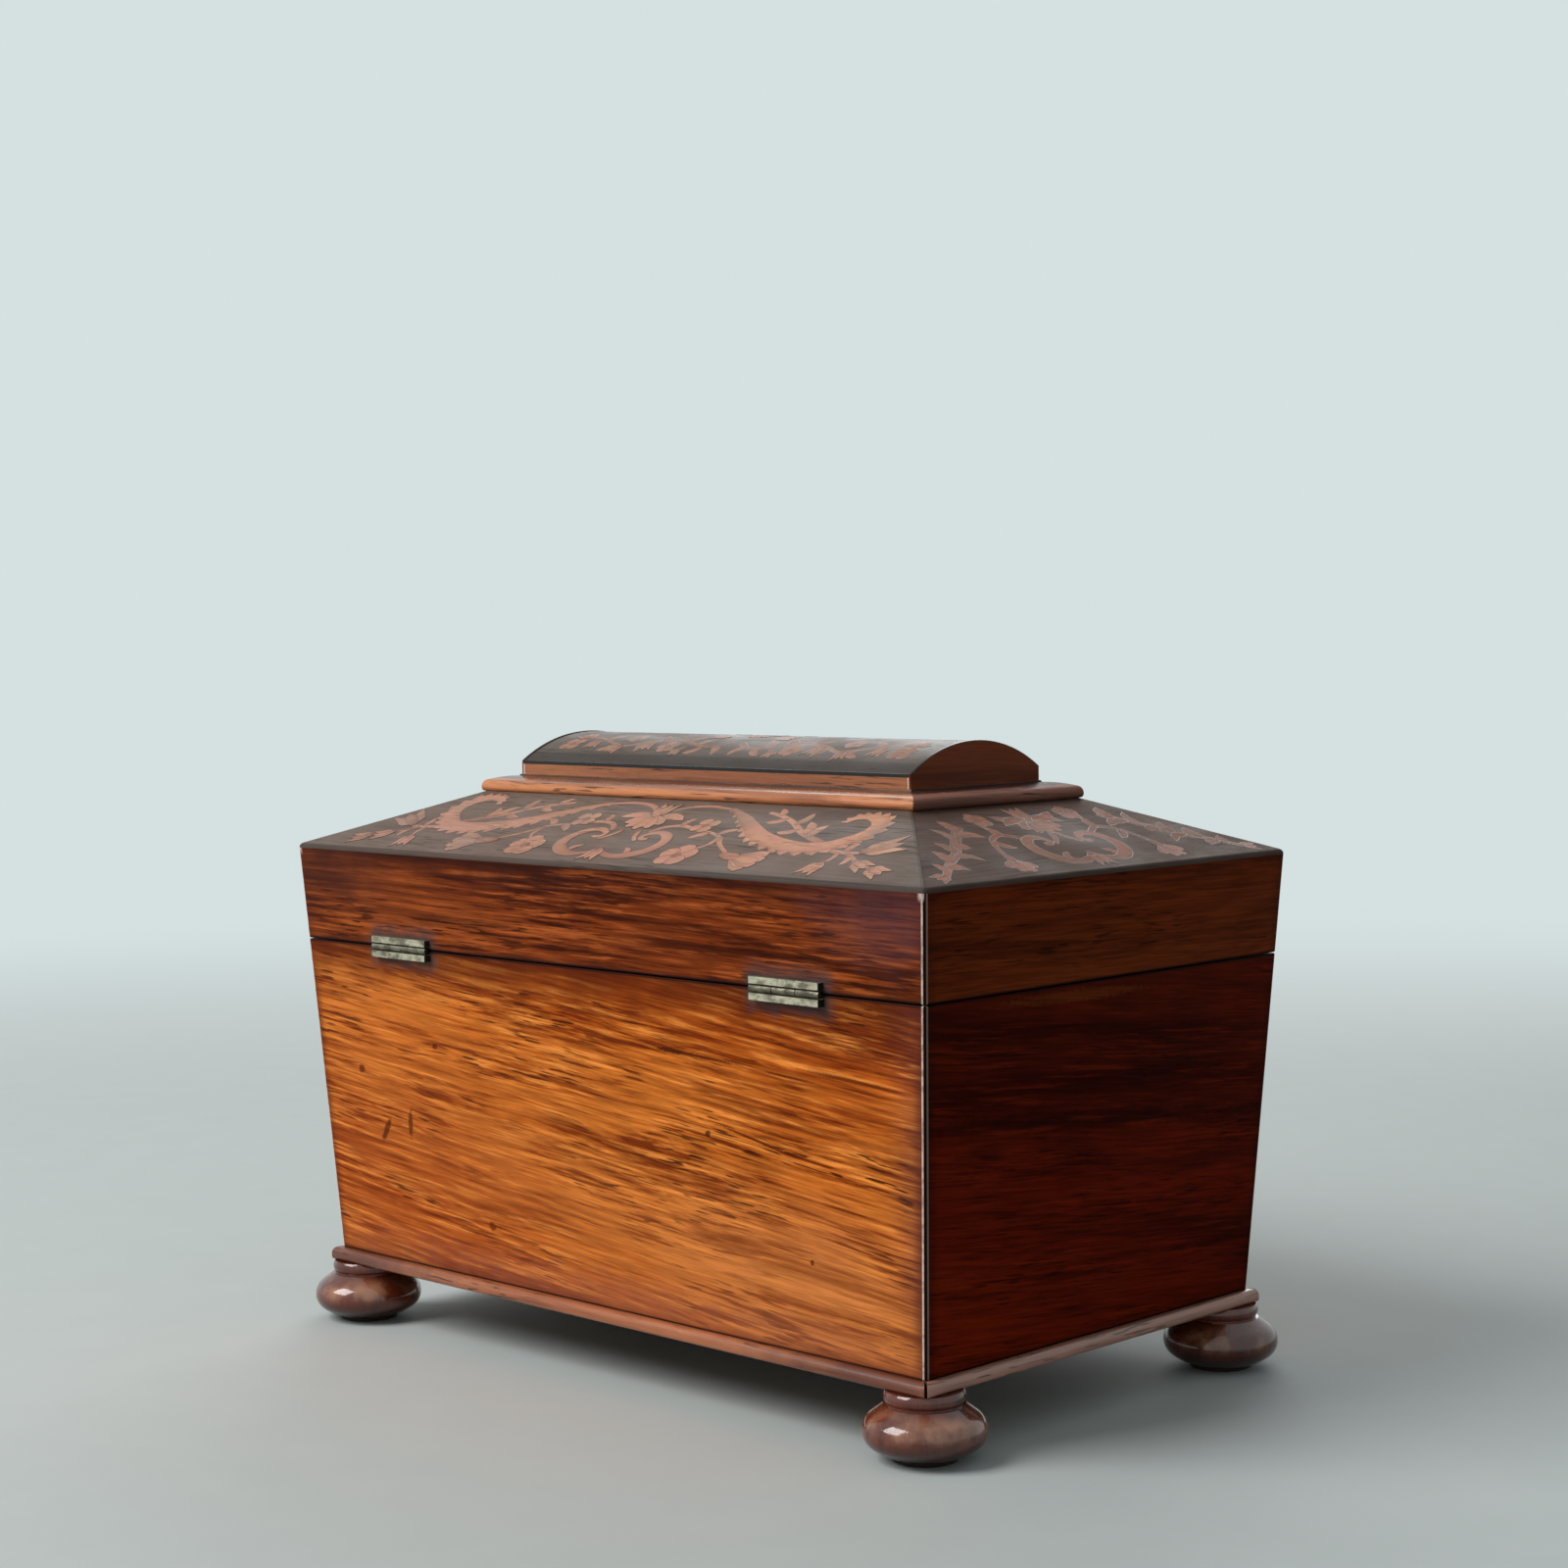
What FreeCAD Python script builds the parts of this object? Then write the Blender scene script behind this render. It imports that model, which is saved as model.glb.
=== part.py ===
import FreeCAD, Part
import math
import os
import re
from collections import namedtuple

import Sketcher
from FreeCAD import Placement, Rotation, Vector

# A sarcophagus-shaped rosewood box on bun feet, with a hipped marquetry lid under a small dome.
# +X runs along the length, +Y towards the back with the hinges, +Z up; the origin is on the table.
# Every driving size in millimetres, written once.
SIZES = {
    # Outside of the case and of the lid's frieze, which share one taper
    "lid_length": 305.0,
    "lid_depth": 179.0,
    "base_length": 284.6,
    "base_depth": 160.8,
    "case_height": 112.7,
    "frieze_height": 34.1,
    "seam_gap": 0.4,
    "wall_thickness": 10.0,
    "corner_round": 2.0,
    # Base board and the strips planted on its edges
    "base_height": 4.4,
    "strip_projection": 3.3,
    "strip_round": 2.3,
    "strip_under_round": 1.2,
    "mitre_gap": 0.35,
    # Turned feet
    "pad_diameter": 20.5,
    "pad_height": 1.2,
    "bun_diameter": 38.0,
    "bun_belly_height": 7.6,
    "bun_belly_reach": 2.3,
    "bun_belly_rise": 4.6,
    "bun_under_round": 17.0,
    "bun_shoulder_height": 7.8,
    "bun_shoulder_reach": 2.8,
    "bun_shoulder_rise": 5.2,
    "neck_diameter": 25.2,
    "neck_groove": 0.8,
    "neck_groove_height": 0.6,
    "neck_ring_height": 3.9,
    "neck_ring_round": 3.1,
    "spigot_diameter": 9.0,
    "spigot_fit": 0.05,
    "foot_inset": 9.9,
    # Lining boards and partitions
    "floor_thickness": 1.6,
    "lining_thickness": 2.0,
    "lining_drop": 2.5,
    "partition_thickness": 4.0,
    "middle_compartment_share": 0.337,
    "partition_drop": 24.0,
    "ceiling_thickness": 2.5,
    # Sloping roof of the lid
    "slope_run": 48.0,
    "slope_rise": 18.2,
    "slope_thickness": 8.0,
    "veneer_thickness": 0.9,
    # Nosing round the crown board
    "crown_overhang": 0.7,
    "crown_height": 5.4,
    "nosing_projection": 10.7,
    "nosing_tuck": 2.0,
    "thumb_radius": 26.0,
    "nose_round": 2.8,
    "bead_size": 0.6,
    # Dome
    "plinth_height": 5.4,
    "dome_rise": 9.65,
    "band_thickness": 0.9,
    "line_height": 1.2,
    # Stop hinges
    "hinge_length": 30.0,
    "hinge_inset": 56.1,
    "hinge_projection": 2.3,
    "barrel_diameter": 2.4,
    "barrel_clearance": 0.25,
    "knuckle_clearance": 0.2,
    "hinge_strip_height": 2.2,
    "hinge_pin_diameter": 1.2,
    "pin_clearance": 0.05,
    "knuckle_gap": 0.3,
    "leaf_thickness": 1.0,
    "leaf_depth": 7.5,
    "leaf_screw_share": 0.55,
    "web_depth": 1.0,
    "let_in_fit": 0.05,
    # Countersunk screws
    "screw_head_diameter": 3.6,
    "screw_shank_diameter": 1.6,
    "screw_head_height": 0.9,
    "screw_length": 9.0,
    "screw_fit": 0.05,
    "leaf_screw_spacing": 9.5,
    # Box lock in the front wall
    "lock_depth": 6.4,
    "lock_height": 24.0,
    "lock_sheet": 1.0,
    "lock_plate_thickness": 1.6,
    "lock_plate_margin": 7.0,
    "bolt_clearance": 0.3,
    "bolt_bar_height": 3.5,
    "bolt_tail": 0.6,
    "bolt_end_clearance": 0.1,
    "bolt_bar_drop": 7.4,
    "bolt_post_thickness": 2.4,
    "bolt_finger_diameter": 2.0,
    "bolt_finger_length": 4.4,
    "bolt_finger_drop": 4.4,
    "talon_width": 5.0,
    "talon_height": 1.4,
    # Link plate in the lid and its two staples
    "link_plate_thickness": 1.2,
    "staple_spacing": 24.0,
    "staple_thickness": 1.8,
    "staple_width": 3.2,
    "staple_drop": 6.6,
    "staple_eye_diameter": 2.8,
    "staple_clearance": 0.6,
    # Keyhole and its brass rim
    "keyhole_drop": 15.0,
    "keyhole_diameter": 4.2,
    "keyhole_slot_width": 2.2,
    "keyhole_slot_drop": 6.0,
    "keyhole_rim": 1.3,
    # One overrun for every cut
    "cut_overrun": 1.0,
}

# Levels and half sizes worked out from the driving sizes.
PLACES = {
    "bun_height": "bun_belly_height + bun_shoulder_height",
    "neck_level": "pad_height + bun_height",
    "foot_height": "neck_level + neck_groove_height + neck_ring_height",
    "case_floor": "foot_height + base_height",
    "floor_top": "case_floor + floor_thickness",
    "seam_level": "case_floor + case_height",
    "case_rim": "seam_level - seam_gap / 2",
    "lid_rim": "seam_level + seam_gap / 2",
    "lid_edge": "seam_level + frieze_height",
    "lining_top": "case_rim - lining_drop",
    "partition_top": "case_rim - partition_drop",
    "ceiling_level": "lid_edge - ceiling_thickness",
    "crown_level": "lid_edge + slope_rise",
    "plinth_level": "crown_level + crown_height",
    "dome_level": "plinth_level + plinth_height",
    "length_taper": "(lid_length - base_length) / 2 / (case_height + frieze_height)",
    "depth_taper": "(lid_depth - base_depth) / 2 / (case_height + frieze_height)",
    "back_face": "base_depth / 2 + depth_taper * case_height",
    "hinge_place": "base_length / 2 + length_taper * case_height - hinge_inset",
    "partition_place": "middle_compartment_share * (base_length / 2 - wall_thickness - lining_thickness)",
    "slope_length": "sqrt(slope_run ^ 2 + slope_rise ^ 2)",
    "veneer_width": "veneer_thickness * slope_length / slope_rise",
    "slope_width": "slope_thickness * slope_length / slope_rise",
    "crown_half_length": "lid_length / 2 - slope_run + crown_overhang",
    "crown_half_depth": "lid_depth / 2 - slope_run + crown_overhang",
    "plinth_half_length": "crown_half_length - nosing_projection",
    "plinth_half_depth": "crown_half_depth - nosing_projection",
    "thumb_reach": "nosing_projection - bead_size - nose_round",
    "thumb_swing": "thumb_radius - nose_round",
    "thumb_height": "sqrt(thumb_swing ^ 2 - thumb_reach ^ 2)",
    "thumb_centre": "plinth_level - thumb_radius",
    "thumb_run": "bead_size + thumb_radius * thumb_reach / thumb_swing",
    "thumb_level": "thumb_centre + thumb_radius * thumb_height / thumb_swing",
    "nose_level": "thumb_centre + thumb_height",
    "under_round": "nose_level - crown_level",
    "dome_radius": "(plinth_half_depth ^ 2 + dome_rise ^ 2) / (2 * dome_rise)",
    "dome_core_radius": "dome_radius - veneer_thickness",
    "dome_core_half": "sqrt(dome_core_radius ^ 2 - (dome_radius - dome_rise) ^ 2)",
    "barrel_radius": "barrel_diameter / 2",
    "pin_depth": "back_face + hinge_projection - barrel_radius",
    "strip_near": "barrel_radius + barrel_clearance",
    "strip_far": "strip_near + hinge_strip_height",
    "knuckle_length": "hinge_length / 3",
    "leaf_screw_depth": "back_face - leaf_depth * leaf_screw_share",
    "lock_plane": "-back_face + wall_thickness / 2 + depth_taper * lock_height / 2",
    "bolt_reach": "staple_clearance + bolt_finger_length + bolt_post_thickness + bolt_tail",
    "lock_room": "bolt_reach + bolt_end_clearance + lock_sheet",
    "lock_length": "staple_spacing + staple_thickness + 2 * lock_room",
    "lock_plate_length": "lock_length + 2 * lock_plate_margin",
    "lock_screw_place": "(lock_length + lock_plate_margin) / 2",
    "lock_cavity_depth": "lock_depth - 2 * lock_sheet",
    "keyhole_level": "case_rim - keyhole_drop",
    "finger_level": "case_rim - bolt_finger_drop",
    "finger_tip": "staple_spacing / 2 - staple_thickness / 2 - staple_clearance",
}

Outline = namedtuple("Outline", "level half_length half_depth")
Corner = namedtuple("Corner", "across up radius bulge", defaults=(None, 1))

SIDE_ANGLES = {"back": 0, "left": 90, "front": 180, "right": -90}
SIDE_SIGNS = {"left": -1, "right": 1}
ABOVE, BELOW = 1, -1

doc = FreeCAD.newDocument("marquetry_box")
nodes = []
screws = {ABOVE: [], BELOW: []}


def formula(text):
    """Point each named size in a text at its sheet."""
    def pointed(word):
        name = word.group()
        sheet = "Sizes." if name in SIZES else "Places." if name in PLACES else ""
        return sheet + name

    return re.sub(r"[a-z_]+", pointed, text)


def fill_sheet(name, cells):
    """Write one row for each named cell, with its alias."""
    sheet = doc.addObject("Spreadsheet::Sheet", name)
    for row, (alias, text) in enumerate(cells.items(), start=1):
        sheet.set(f"A{row}", alias)
        sheet.set(f"B{row}", text)
        sheet.setAlias(f"B{row}", alias)
    doc.recompute()
    return sheet


fill_sheet("Sizes", {alias: str(number) for alias, number in SIZES.items()})
places = fill_sheet("Places", {alias: "=" + formula(text) for alias, text in PLACES.items()})


def number(text):
    """Work out a text of named sizes as a plain number."""
    return float(places.evalExpression(formula(text)))


def bind(thing, **properties):
    """Bind properties to texts of named sizes."""
    for name, text in properties.items():
        thing.setExpression(name, formula(text))


def move(thing, across="0", back="0", up="0"):
    """Bind the three coordinates of a placement."""
    for axis, text in zip("xyz", (across, back, up)):
        thing.setExpression(f"Placement.Base.{axis}", formula(text))


def keep(thing, label):
    """Name a finished sub-part and put it on the list that is written out."""
    thing.Label = label
    nodes.append(thing)
    return thing


# Solids by extents


def block(name, across, back, up):
    """Make a box between three pairs of limits."""
    box = doc.addObject("Part::Box", name)
    spans = [f"({high}) - ({low})" for low, high in (across, back, up)]
    bind(box, Length=spans[0], Width=spans[1], Height=spans[2])
    move(box, across[0], back[0], up[0])
    return box


def rod(name, radius, along, across="0", back="0", up="0", axis=Vector(0, 0, 1)):
    """Make a cylinder that starts at a point and runs along an axis."""
    cylinder = doc.addObject("Part::Cylinder", name)
    cylinder.Placement = Placement(Vector(), Rotation(Vector(0, 0, 1), axis))
    bind(cylinder, Radius=radius, Height=along)
    move(cylinder, across, back, up)
    return cylinder


def joined(name, pieces):
    """Fuse pieces into one solid."""
    fusion = doc.addObject("Part::MultiFuse", name)
    fusion.Shapes = pieces
    return fusion


def cut(name, base, tools):
    """Cut one or more tools out of a base."""
    difference = doc.addObject("Part::Cut", name)
    difference.Base = base
    difference.Tool = tools[0] if len(tools) == 1 else joined(name + "_tools", tools)
    return difference


def group(name, pieces):
    """Gather separate solids in one object."""
    compound = doc.addObject("Part::Compound", name)
    compound.Links = pieces
    return compound


def about(middle, half):
    """Give the two limits at a half size either side of a middle."""
    return f"{middle} - ({half})", f"{middle} + {half}"


def beyond(sense, near, far):
    """Give the limits between two distances above or below the seam."""
    if sense == ABOVE:
        return f"seam_level + {near}", f"seam_level + {far}"
    return f"seam_level - ({far})", f"seam_level - ({near})"


# Sketched bodies


def origin_plane(body, role):
    """Find one of a body's own origin planes by its role."""
    return next(feature for feature in body.Origin.OriginFeatures if feature.Role == role)


def arc_between(start, end, radius, bulge):
    """Draw an arc that bulges to the right of its run where bulge is 1, to the left where it is -1."""
    middle = (start + end) / 2
    run = end - start
    side = Vector(run.y, -run.x, 0).normalize() * bulge
    depth = radius - math.sqrt(max(radius ** 2 - run.Length ** 2 / 4, 0))
    return Part.Arc(start, middle + side * depth, end)


def closed_profile(body, name, role, level, *loops):
    """Sketch closed loops of lines and arcs whose corners are texts of named sizes."""
    sketch = body.newObject("Sketcher::SketchObject", name)
    sketch.AttachmentSupport = [(origin_plane(body, role), "")]
    sketch.MapMode = "FlatFace"
    sketch.setExpression("AttachmentOffset.Base.z", formula(level))
    for corners in loops:
        draw_loop(sketch, corners)
    return sketch


def draw_loop(sketch, corners):
    """Add one loop to a sketch and bind every corner and radius."""
    points = [Vector(number(corner.across), number(corner.up), 0) for corner in corners]
    ends = []
    for index, corner in enumerate(corners):
        start, end = points[index], points[(index + 1) % len(points)]
        if corner.radius is None:
            edge = sketch.addGeometry(Part.LineSegment(start, end))
            ends.append((edge, 1, 2))
            continue
        edge = sketch.addGeometry(arc_between(start, end, number(corner.radius), corner.bulge))
        first, last = (sketch.getPoint(edge, place).distanceToPoint(start) for place in (1, 2))
        ends.append((edge, 1, 2) if first < last else (edge, 2, 1))
        fix(sketch, corner.radius, "Radius", edge)
    for index, corner in enumerate(corners):
        edge, first, _ = ends[index]
        before, _, last = ends[index - 1]
        sketch.addConstraint(Sketcher.Constraint("Coincident", before, last, edge, first))
        fix(sketch, corner.across, "DistanceX", -1, 1, edge, first)
        fix(sketch, corner.up, "DistanceY", -1, 1, edge, first)


def fix(sketch, text, kind, *where):
    """Add one dimension to a sketch and bind it."""
    constraint = sketch.addConstraint(Sketcher.Constraint(kind, *where, number(text)))
    sketch.setExpression(f"Constraints[{constraint}]", formula(text))


def new_body(name):
    """Start an empty body."""
    return doc.addObject("PartDesign::Body", name)


def extrude(body, sketch, length):
    """Pad a sketch by a length, half to each side."""
    pad = body.newObject("PartDesign::Pad", body.Name + "_pad")
    pad.Profile = sketch
    pad.Midplane = True
    bind(pad, Length=length)
    return pad


def loft(body, low, high):
    """Join two sketches with straight-sided faces."""
    skin = body.newObject("PartDesign::AdditiveLoft", body.Name + "_loft")
    skin.Profile = low
    skin.Sections = [high]
    skin.Ruled = True
    return skin


def turned(outline, side):
    """Swap an outline's two half sizes for the short sides of a frame."""
    if side in ("back", "front"):
        return outline
    return Outline(outline.level, outline.half_depth, outline.half_length)


def case_outline(level, inset="0"):
    """Give the tapered outside of the case at a level, moved in by an inset."""
    rise = f"({level} - case_floor)"
    return Outline(
        level,
        f"base_length / 2 + length_taper * {rise} - ({inset})",
        f"base_depth / 2 + depth_taper * {rise} - ({inset})",
    )


def roof_outline(level, run, inset):
    """Give the outside of the sloping roof where it has run in by a distance."""
    return Outline(
        level,
        f"lid_length / 2 - {run} - ({inset})",
        f"lid_depth / 2 - {run} - ({inset})",
    )


def mitred_corners(outline, width, corner_round):
    """Give the plan of one mitred side, with half of each corner's rounding."""
    half, depth = outline.half_length, outline.half_depth
    inner = [
        Corner(f"-({half} - ({width}))", f"{depth} - ({width})"),
        Corner(f"{half} - ({width})", f"{depth} - ({width})"),
    ]
    if corner_round is None:
        return inner + [Corner(half, depth), Corner(f"-({half})", depth)]
    tangent = f"{half} - {corner_round}"
    mitre = f"{half} - {corner_round} * (1 - sqrt(1 / 2))"
    mitre_depth = f"{depth} - {corner_round} * (1 - sqrt(1 / 2))"
    return inner + [
        Corner(mitre, mitre_depth, corner_round),
        Corner(tangent, depth),
        Corner(f"-({tangent})", depth, corner_round),
        Corner(f"-({mitre})", mitre_depth),
    ]


def frame_side(label, side, low, high, width, corner_round=None):
    """Make one mitred side of a four-sided frame that leans between two levels."""
    body = new_body(label)
    sketches = [
        closed_profile(
            body, f"{label}_{end}", "XY_Plane", outline.level,
            mitred_corners(turned(outline, side), width, corner_round),
        )
        for end, outline in (("low", low), ("high", high))
    ]
    loft(body, *sketches)
    body.Placement = Placement(Vector(), Rotation(Vector(0, 0, 1), SIDE_ANGLES[side]))
    return body


def tapered_board(label, low, high, across="0"):
    """Make a flat board whose edges lean between two levels."""
    body = new_body(label)
    sketches = [
        closed_profile(body, f"{label}_{end}", "XY_Plane", outline.level, rectangle(outline))
        for end, outline in (("low", low), ("high", high))
    ]
    loft(body, *sketches)
    move(body, across)
    return body


def rectangle(outline):
    """Give the four corners of an outline."""
    half, depth = outline.half_length, outline.half_depth
    return [
        Corner(f"-({half})", f"-({depth})"),
        Corner(half, f"-({depth})"),
        Corner(half, depth),
        Corner(f"-({half})", depth),
    ]


def mitred_moulding(label, side, outline, width, section, gap="0"):
    """Run a section along one side of an outline and mitre both ends."""
    half, depth = turned(outline, side)[1:]
    body = new_body(label)
    profile = closed_profile(body, label + "_section", "YZ_Plane", "0", section(depth))
    extrude(body, profile, f"2 * ({half})")
    tip, heel = f"{half} - {gap} + cut_overrun", f"{half} - {gap} - ({width}) - cut_overrun"
    front, rear = f"{depth} + cut_overrun", f"{depth} - ({width}) - cut_overrun"
    wedges = [
        [Corner(sign + f"({tip})", front), Corner(sign + f"({heel})", rear), Corner(sign + f"({tip})", rear)]
        for sign in ("", "-")
    ]
    mitres = body.newObject("PartDesign::Pocket", label + "_mitres")
    mitres.Profile = closed_profile(body, label + "_wedges", "XY_Plane", "0", *wedges)
    mitres.Type = "ThroughAll"
    mitres.Midplane = True
    body.Placement = Placement(Vector(), Rotation(Vector(0, 0, 1), SIDE_ANGLES[side]))
    return keep(body, label)


# Screws


def screw(name, across, back, face, sense, fit="0"):
    """Make a countersunk screw whose head is flush with a face and whose shank runs up or down."""
    head, shank = f"screw_head_diameter / 2 + {fit}", f"screw_shank_diameter / 2 + {fit}"
    cone = doc.addObject("Part::Cone", name + "_head")
    if sense == ABOVE:
        bind(cone, Radius1=head, Radius2=shank, Height="screw_head_height")
        move(cone, across, back, face)
        shaft = rod(name + "_shank", shank, "screw_length", across, back, face)
    else:
        bind(cone, Radius1=shank, Radius2=head, Height="screw_head_height")
        move(cone, across, back, f"{face} - screw_head_height")
        shaft = rod(name + "_shank", shank, "screw_length", across, back, f"{face} - screw_length")
    return joined(name, [cone, shaft])


def screw_set(name, spots, face, sense):
    """Make equal screws and return the drills for their holes."""
    screws[sense] += [
        screw(f"{name}_{index}", across, back, face, sense)
        for index, (across, back) in enumerate(spots)
    ]
    return [
        screw(f"{name}_drill_{index}", across, back, face, sense, "screw_fit")
        for index, (across, back) in enumerate(spots)
    ]


def build_screws():
    """Gather the screws of the case and those of the lid, each as a group of separate solids."""
    keep(group("case_screw_group", screws[BELOW]), "case_screws")
    keep(group("lid_screw_group", screws[ABOVE]), "lid_screws")


# Hinges


def hinge_middle(side):
    """Give the place of a hinge along the back."""
    return f"{SIDE_SIGNS[side]} * hinge_place"


def knuckle_span(side, place, gap):
    """Give the limits of the first, second or third knuckle, drawn in by a gap at each end."""
    start = f"{hinge_middle(side)} + knuckle_length * ({place} - 3 / 2)"
    return f"{start} + {gap}", f"{start} + knuckle_length - ({gap})"


def barrel_rod(name, side, place, radius, gap):
    """Make a cylinder about the hinge pin over one knuckle's length."""
    start, end = knuckle_span(side, place, gap)
    return rod(name, radius, f"{end} - ({start})", start, "pin_depth", "seam_level", Vector(1, 0, 0))


def hinge_leaf(label, side, sense, own, others, drills):
    """Make one leaf: a leg let into the edge, a stop strip on the back and its knuckles."""
    whole = about(hinge_middle(side), "hinge_length / 2")
    rim, heel = "seam_gap / 2", "seam_gap / 2 + leaf_thickness"
    web_face = "back_face - web_depth"
    pieces = [
        block(label + "_leg", whole, ("back_face - leaf_depth", "back_face"), beyond(sense, rim, heel)),
        block(label + "_web", whole, (web_face, "back_face"), beyond(sense, rim, "strip_far")),
        block(label + "_stop", whole, (web_face, "pin_depth + barrel_radius"),
              beyond(sense, "strip_near", "strip_far")),
    ]
    for place in own:
        span = knuckle_span(side, place, "knuckle_gap / 2")
        pieces.append(block(f"{label}_neck_{place}", span, (web_face, "pin_depth"), beyond(sense, rim, heel)))
        pieces.append(barrel_rod(f"{label}_knuckle_{place}", side, place, "barrel_radius", "knuckle_gap / 2"))
    bore = f"hinge_pin_diameter / 2 + {'pin_clearance' if sense == ABOVE else '0'}"
    tools = [
        rod(label + "_bore", bore, "hinge_length + 2 * cut_overrun", f"{whole[0]} - cut_overrun",
            "pin_depth", "seam_level", Vector(1, 0, 0)),
    ]
    for place in others:
        tools.append(
            barrel_rod(f"{label}_notch_{place}", side, place, "barrel_radius + knuckle_clearance",
                       "-knuckle_gap / 2")
        )
    keep(cut(label + "_cut", joined(label + "_blank", pieces), tools + drills), label)


def hinge_recess(name, side, sense):
    """Make the tools that let one leaf into the edge and the back of the wood."""
    whole = about(hinge_middle(side), "hinge_length / 2 + let_in_fit")
    outside = "back_face + hinge_projection"
    return [
        block(name + "_leg", whole, ("back_face - leaf_depth - let_in_fit", outside),
              beyond(sense, "0", "seam_gap / 2 + leaf_thickness")),
        block(name + "_web", whole, ("back_face - web_depth", outside),
              beyond(sense, "0", "strip_far + let_in_fit")),
    ]


def build_hinges():
    """Make both hinges and return the cuts for the back wall and for the lid's back rail."""
    wall_cuts, rail_cuts = [], []
    for side in SIDE_SIGNS:
        spots = [
            (f"{hinge_middle(side)} + {step} * leaf_screw_spacing", "leaf_screw_depth") for step in (-1, 0, 1)
        ]
        low = screw_set(f"hinge_screws_case_{side}", spots, "case_rim", BELOW)
        high = screw_set(f"hinge_screws_lid_{side}", spots, "lid_rim", ABOVE)
        hinge_leaf(f"hinge_leaf_case_{side}", side, BELOW, (0, 2), (1,), low)
        hinge_leaf(f"hinge_leaf_lid_{side}", side, ABOVE, (1,), (0, 2), high)
        start = about(hinge_middle(side), "hinge_length / 2")[0]
        pin = rod(f"hinge_pin_{side}_rod", "hinge_pin_diameter / 2", "hinge_length", start,
                  "pin_depth", "seam_level", Vector(1, 0, 0))
        keep(pin, f"hinge_pin_{side}")
        wall_cuts += hinge_recess(f"wall_recess_{side}", side, BELOW) + low
        rail_cuts += hinge_recess(f"rail_recess_{side}", side, ABOVE) + high
    return wall_cuts, rail_cuts


# Lock


def keyhole(name, grow, rear):
    """Make a keyhole-shaped tool from outside the front wall to a depth."""
    start = "-back_face - cut_overrun"
    round_part = rod(name + "_round", f"keyhole_diameter / 2 + {grow}", f"{rear} - ({start})",
                     "0", start, "keyhole_level", Vector(0, 1, 0))
    slot_part = block(name + "_slot", about("0", f"(keyhole_slot_width / 2 + {grow})"), (start, rear),
                      (f"keyhole_level - keyhole_slot_drop - {grow}", "keyhole_level"))
    return joined(name, [round_part, slot_part])


def build_lock(front_wall):
    """Make the lock and return the cuts for the front wall and for the lid's front rail."""
    depth = about("lock_plane", "lock_depth / 2")
    plate_bottom = "case_rim - lock_plate_thickness"
    floor = "case_rim - lock_height"
    cavity_half = "(lock_length / 2 - lock_sheet)"
    cavity_depth = about("lock_plane", "lock_cavity_depth / 2")
    spots = [(f"{sign} * lock_screw_place", "lock_plane") for sign in SIDE_SIGNS.values()]

    shell = block("lock_shell", about("0", "lock_length / 2"), depth, (floor, plate_bottom))
    cavity = block("lock_cavity", about("0", cavity_half), cavity_depth,
                   (f"{floor} + lock_sheet", "case_rim"))
    key_way = keyhole("key_way", "0", "lock_plane")
    keep(cut("lock_case_cut", shell, [cavity, key_way]), "lock_case")

    drills = screw_set("lock_screws", spots, "case_rim", BELOW)
    plate = block("lock_plate_blank", about("0", "lock_plate_length / 2"), depth, (plate_bottom, "case_rim"))
    slots = [
        block(f"lock_slot_{side}",
              about(f"{sign} * staple_spacing / 2", "staple_thickness / 2 + staple_clearance"),
              about("lock_plane", "(staple_width / 2 + staple_clearance)"),
              (f"{plate_bottom} - cut_overrun", "case_rim + cut_overrun"))
        for side, sign in SIDE_SIGNS.items()
    ]
    keep(cut("lock_plate_cut", plate, slots + drills), "lock_plate")

    rim_outer = keyhole("keyhole_rim_outer", "keyhole_rim", f"{depth[0]} - let_in_fit")
    ring = cut("keyhole_ring", rim_outer, [key_way])
    rim = doc.addObject("Part::Common", "keyhole_rim_flush")
    rim.Base = front_wall
    rim.Tool = ring
    keep(rim, "escutcheon")

    build_bolt()
    link_drills = build_link_plate(depth, spots)
    fit = "let_in_fit"
    mortise_depth = about("lock_plane", f"(lock_depth / 2 + {fit})")
    wall_cuts = [
        block("lock_mortise", about("0", f"(lock_length / 2 + {fit})"), mortise_depth, (floor, "seam_level")),
        block("plate_recess", about("0", f"(lock_plate_length / 2 + {fit})"), mortise_depth,
              (plate_bottom, "seam_level")),
        rim_outer, key_way,
    ]
    rail_cuts = [
        block("link_recess", about("0", f"(lock_plate_length / 2 + {fit})"), mortise_depth,
              ("seam_level", "lid_rim + link_plate_thickness")),
    ]
    return wall_cuts + drills, rail_cuts + link_drills


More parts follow.
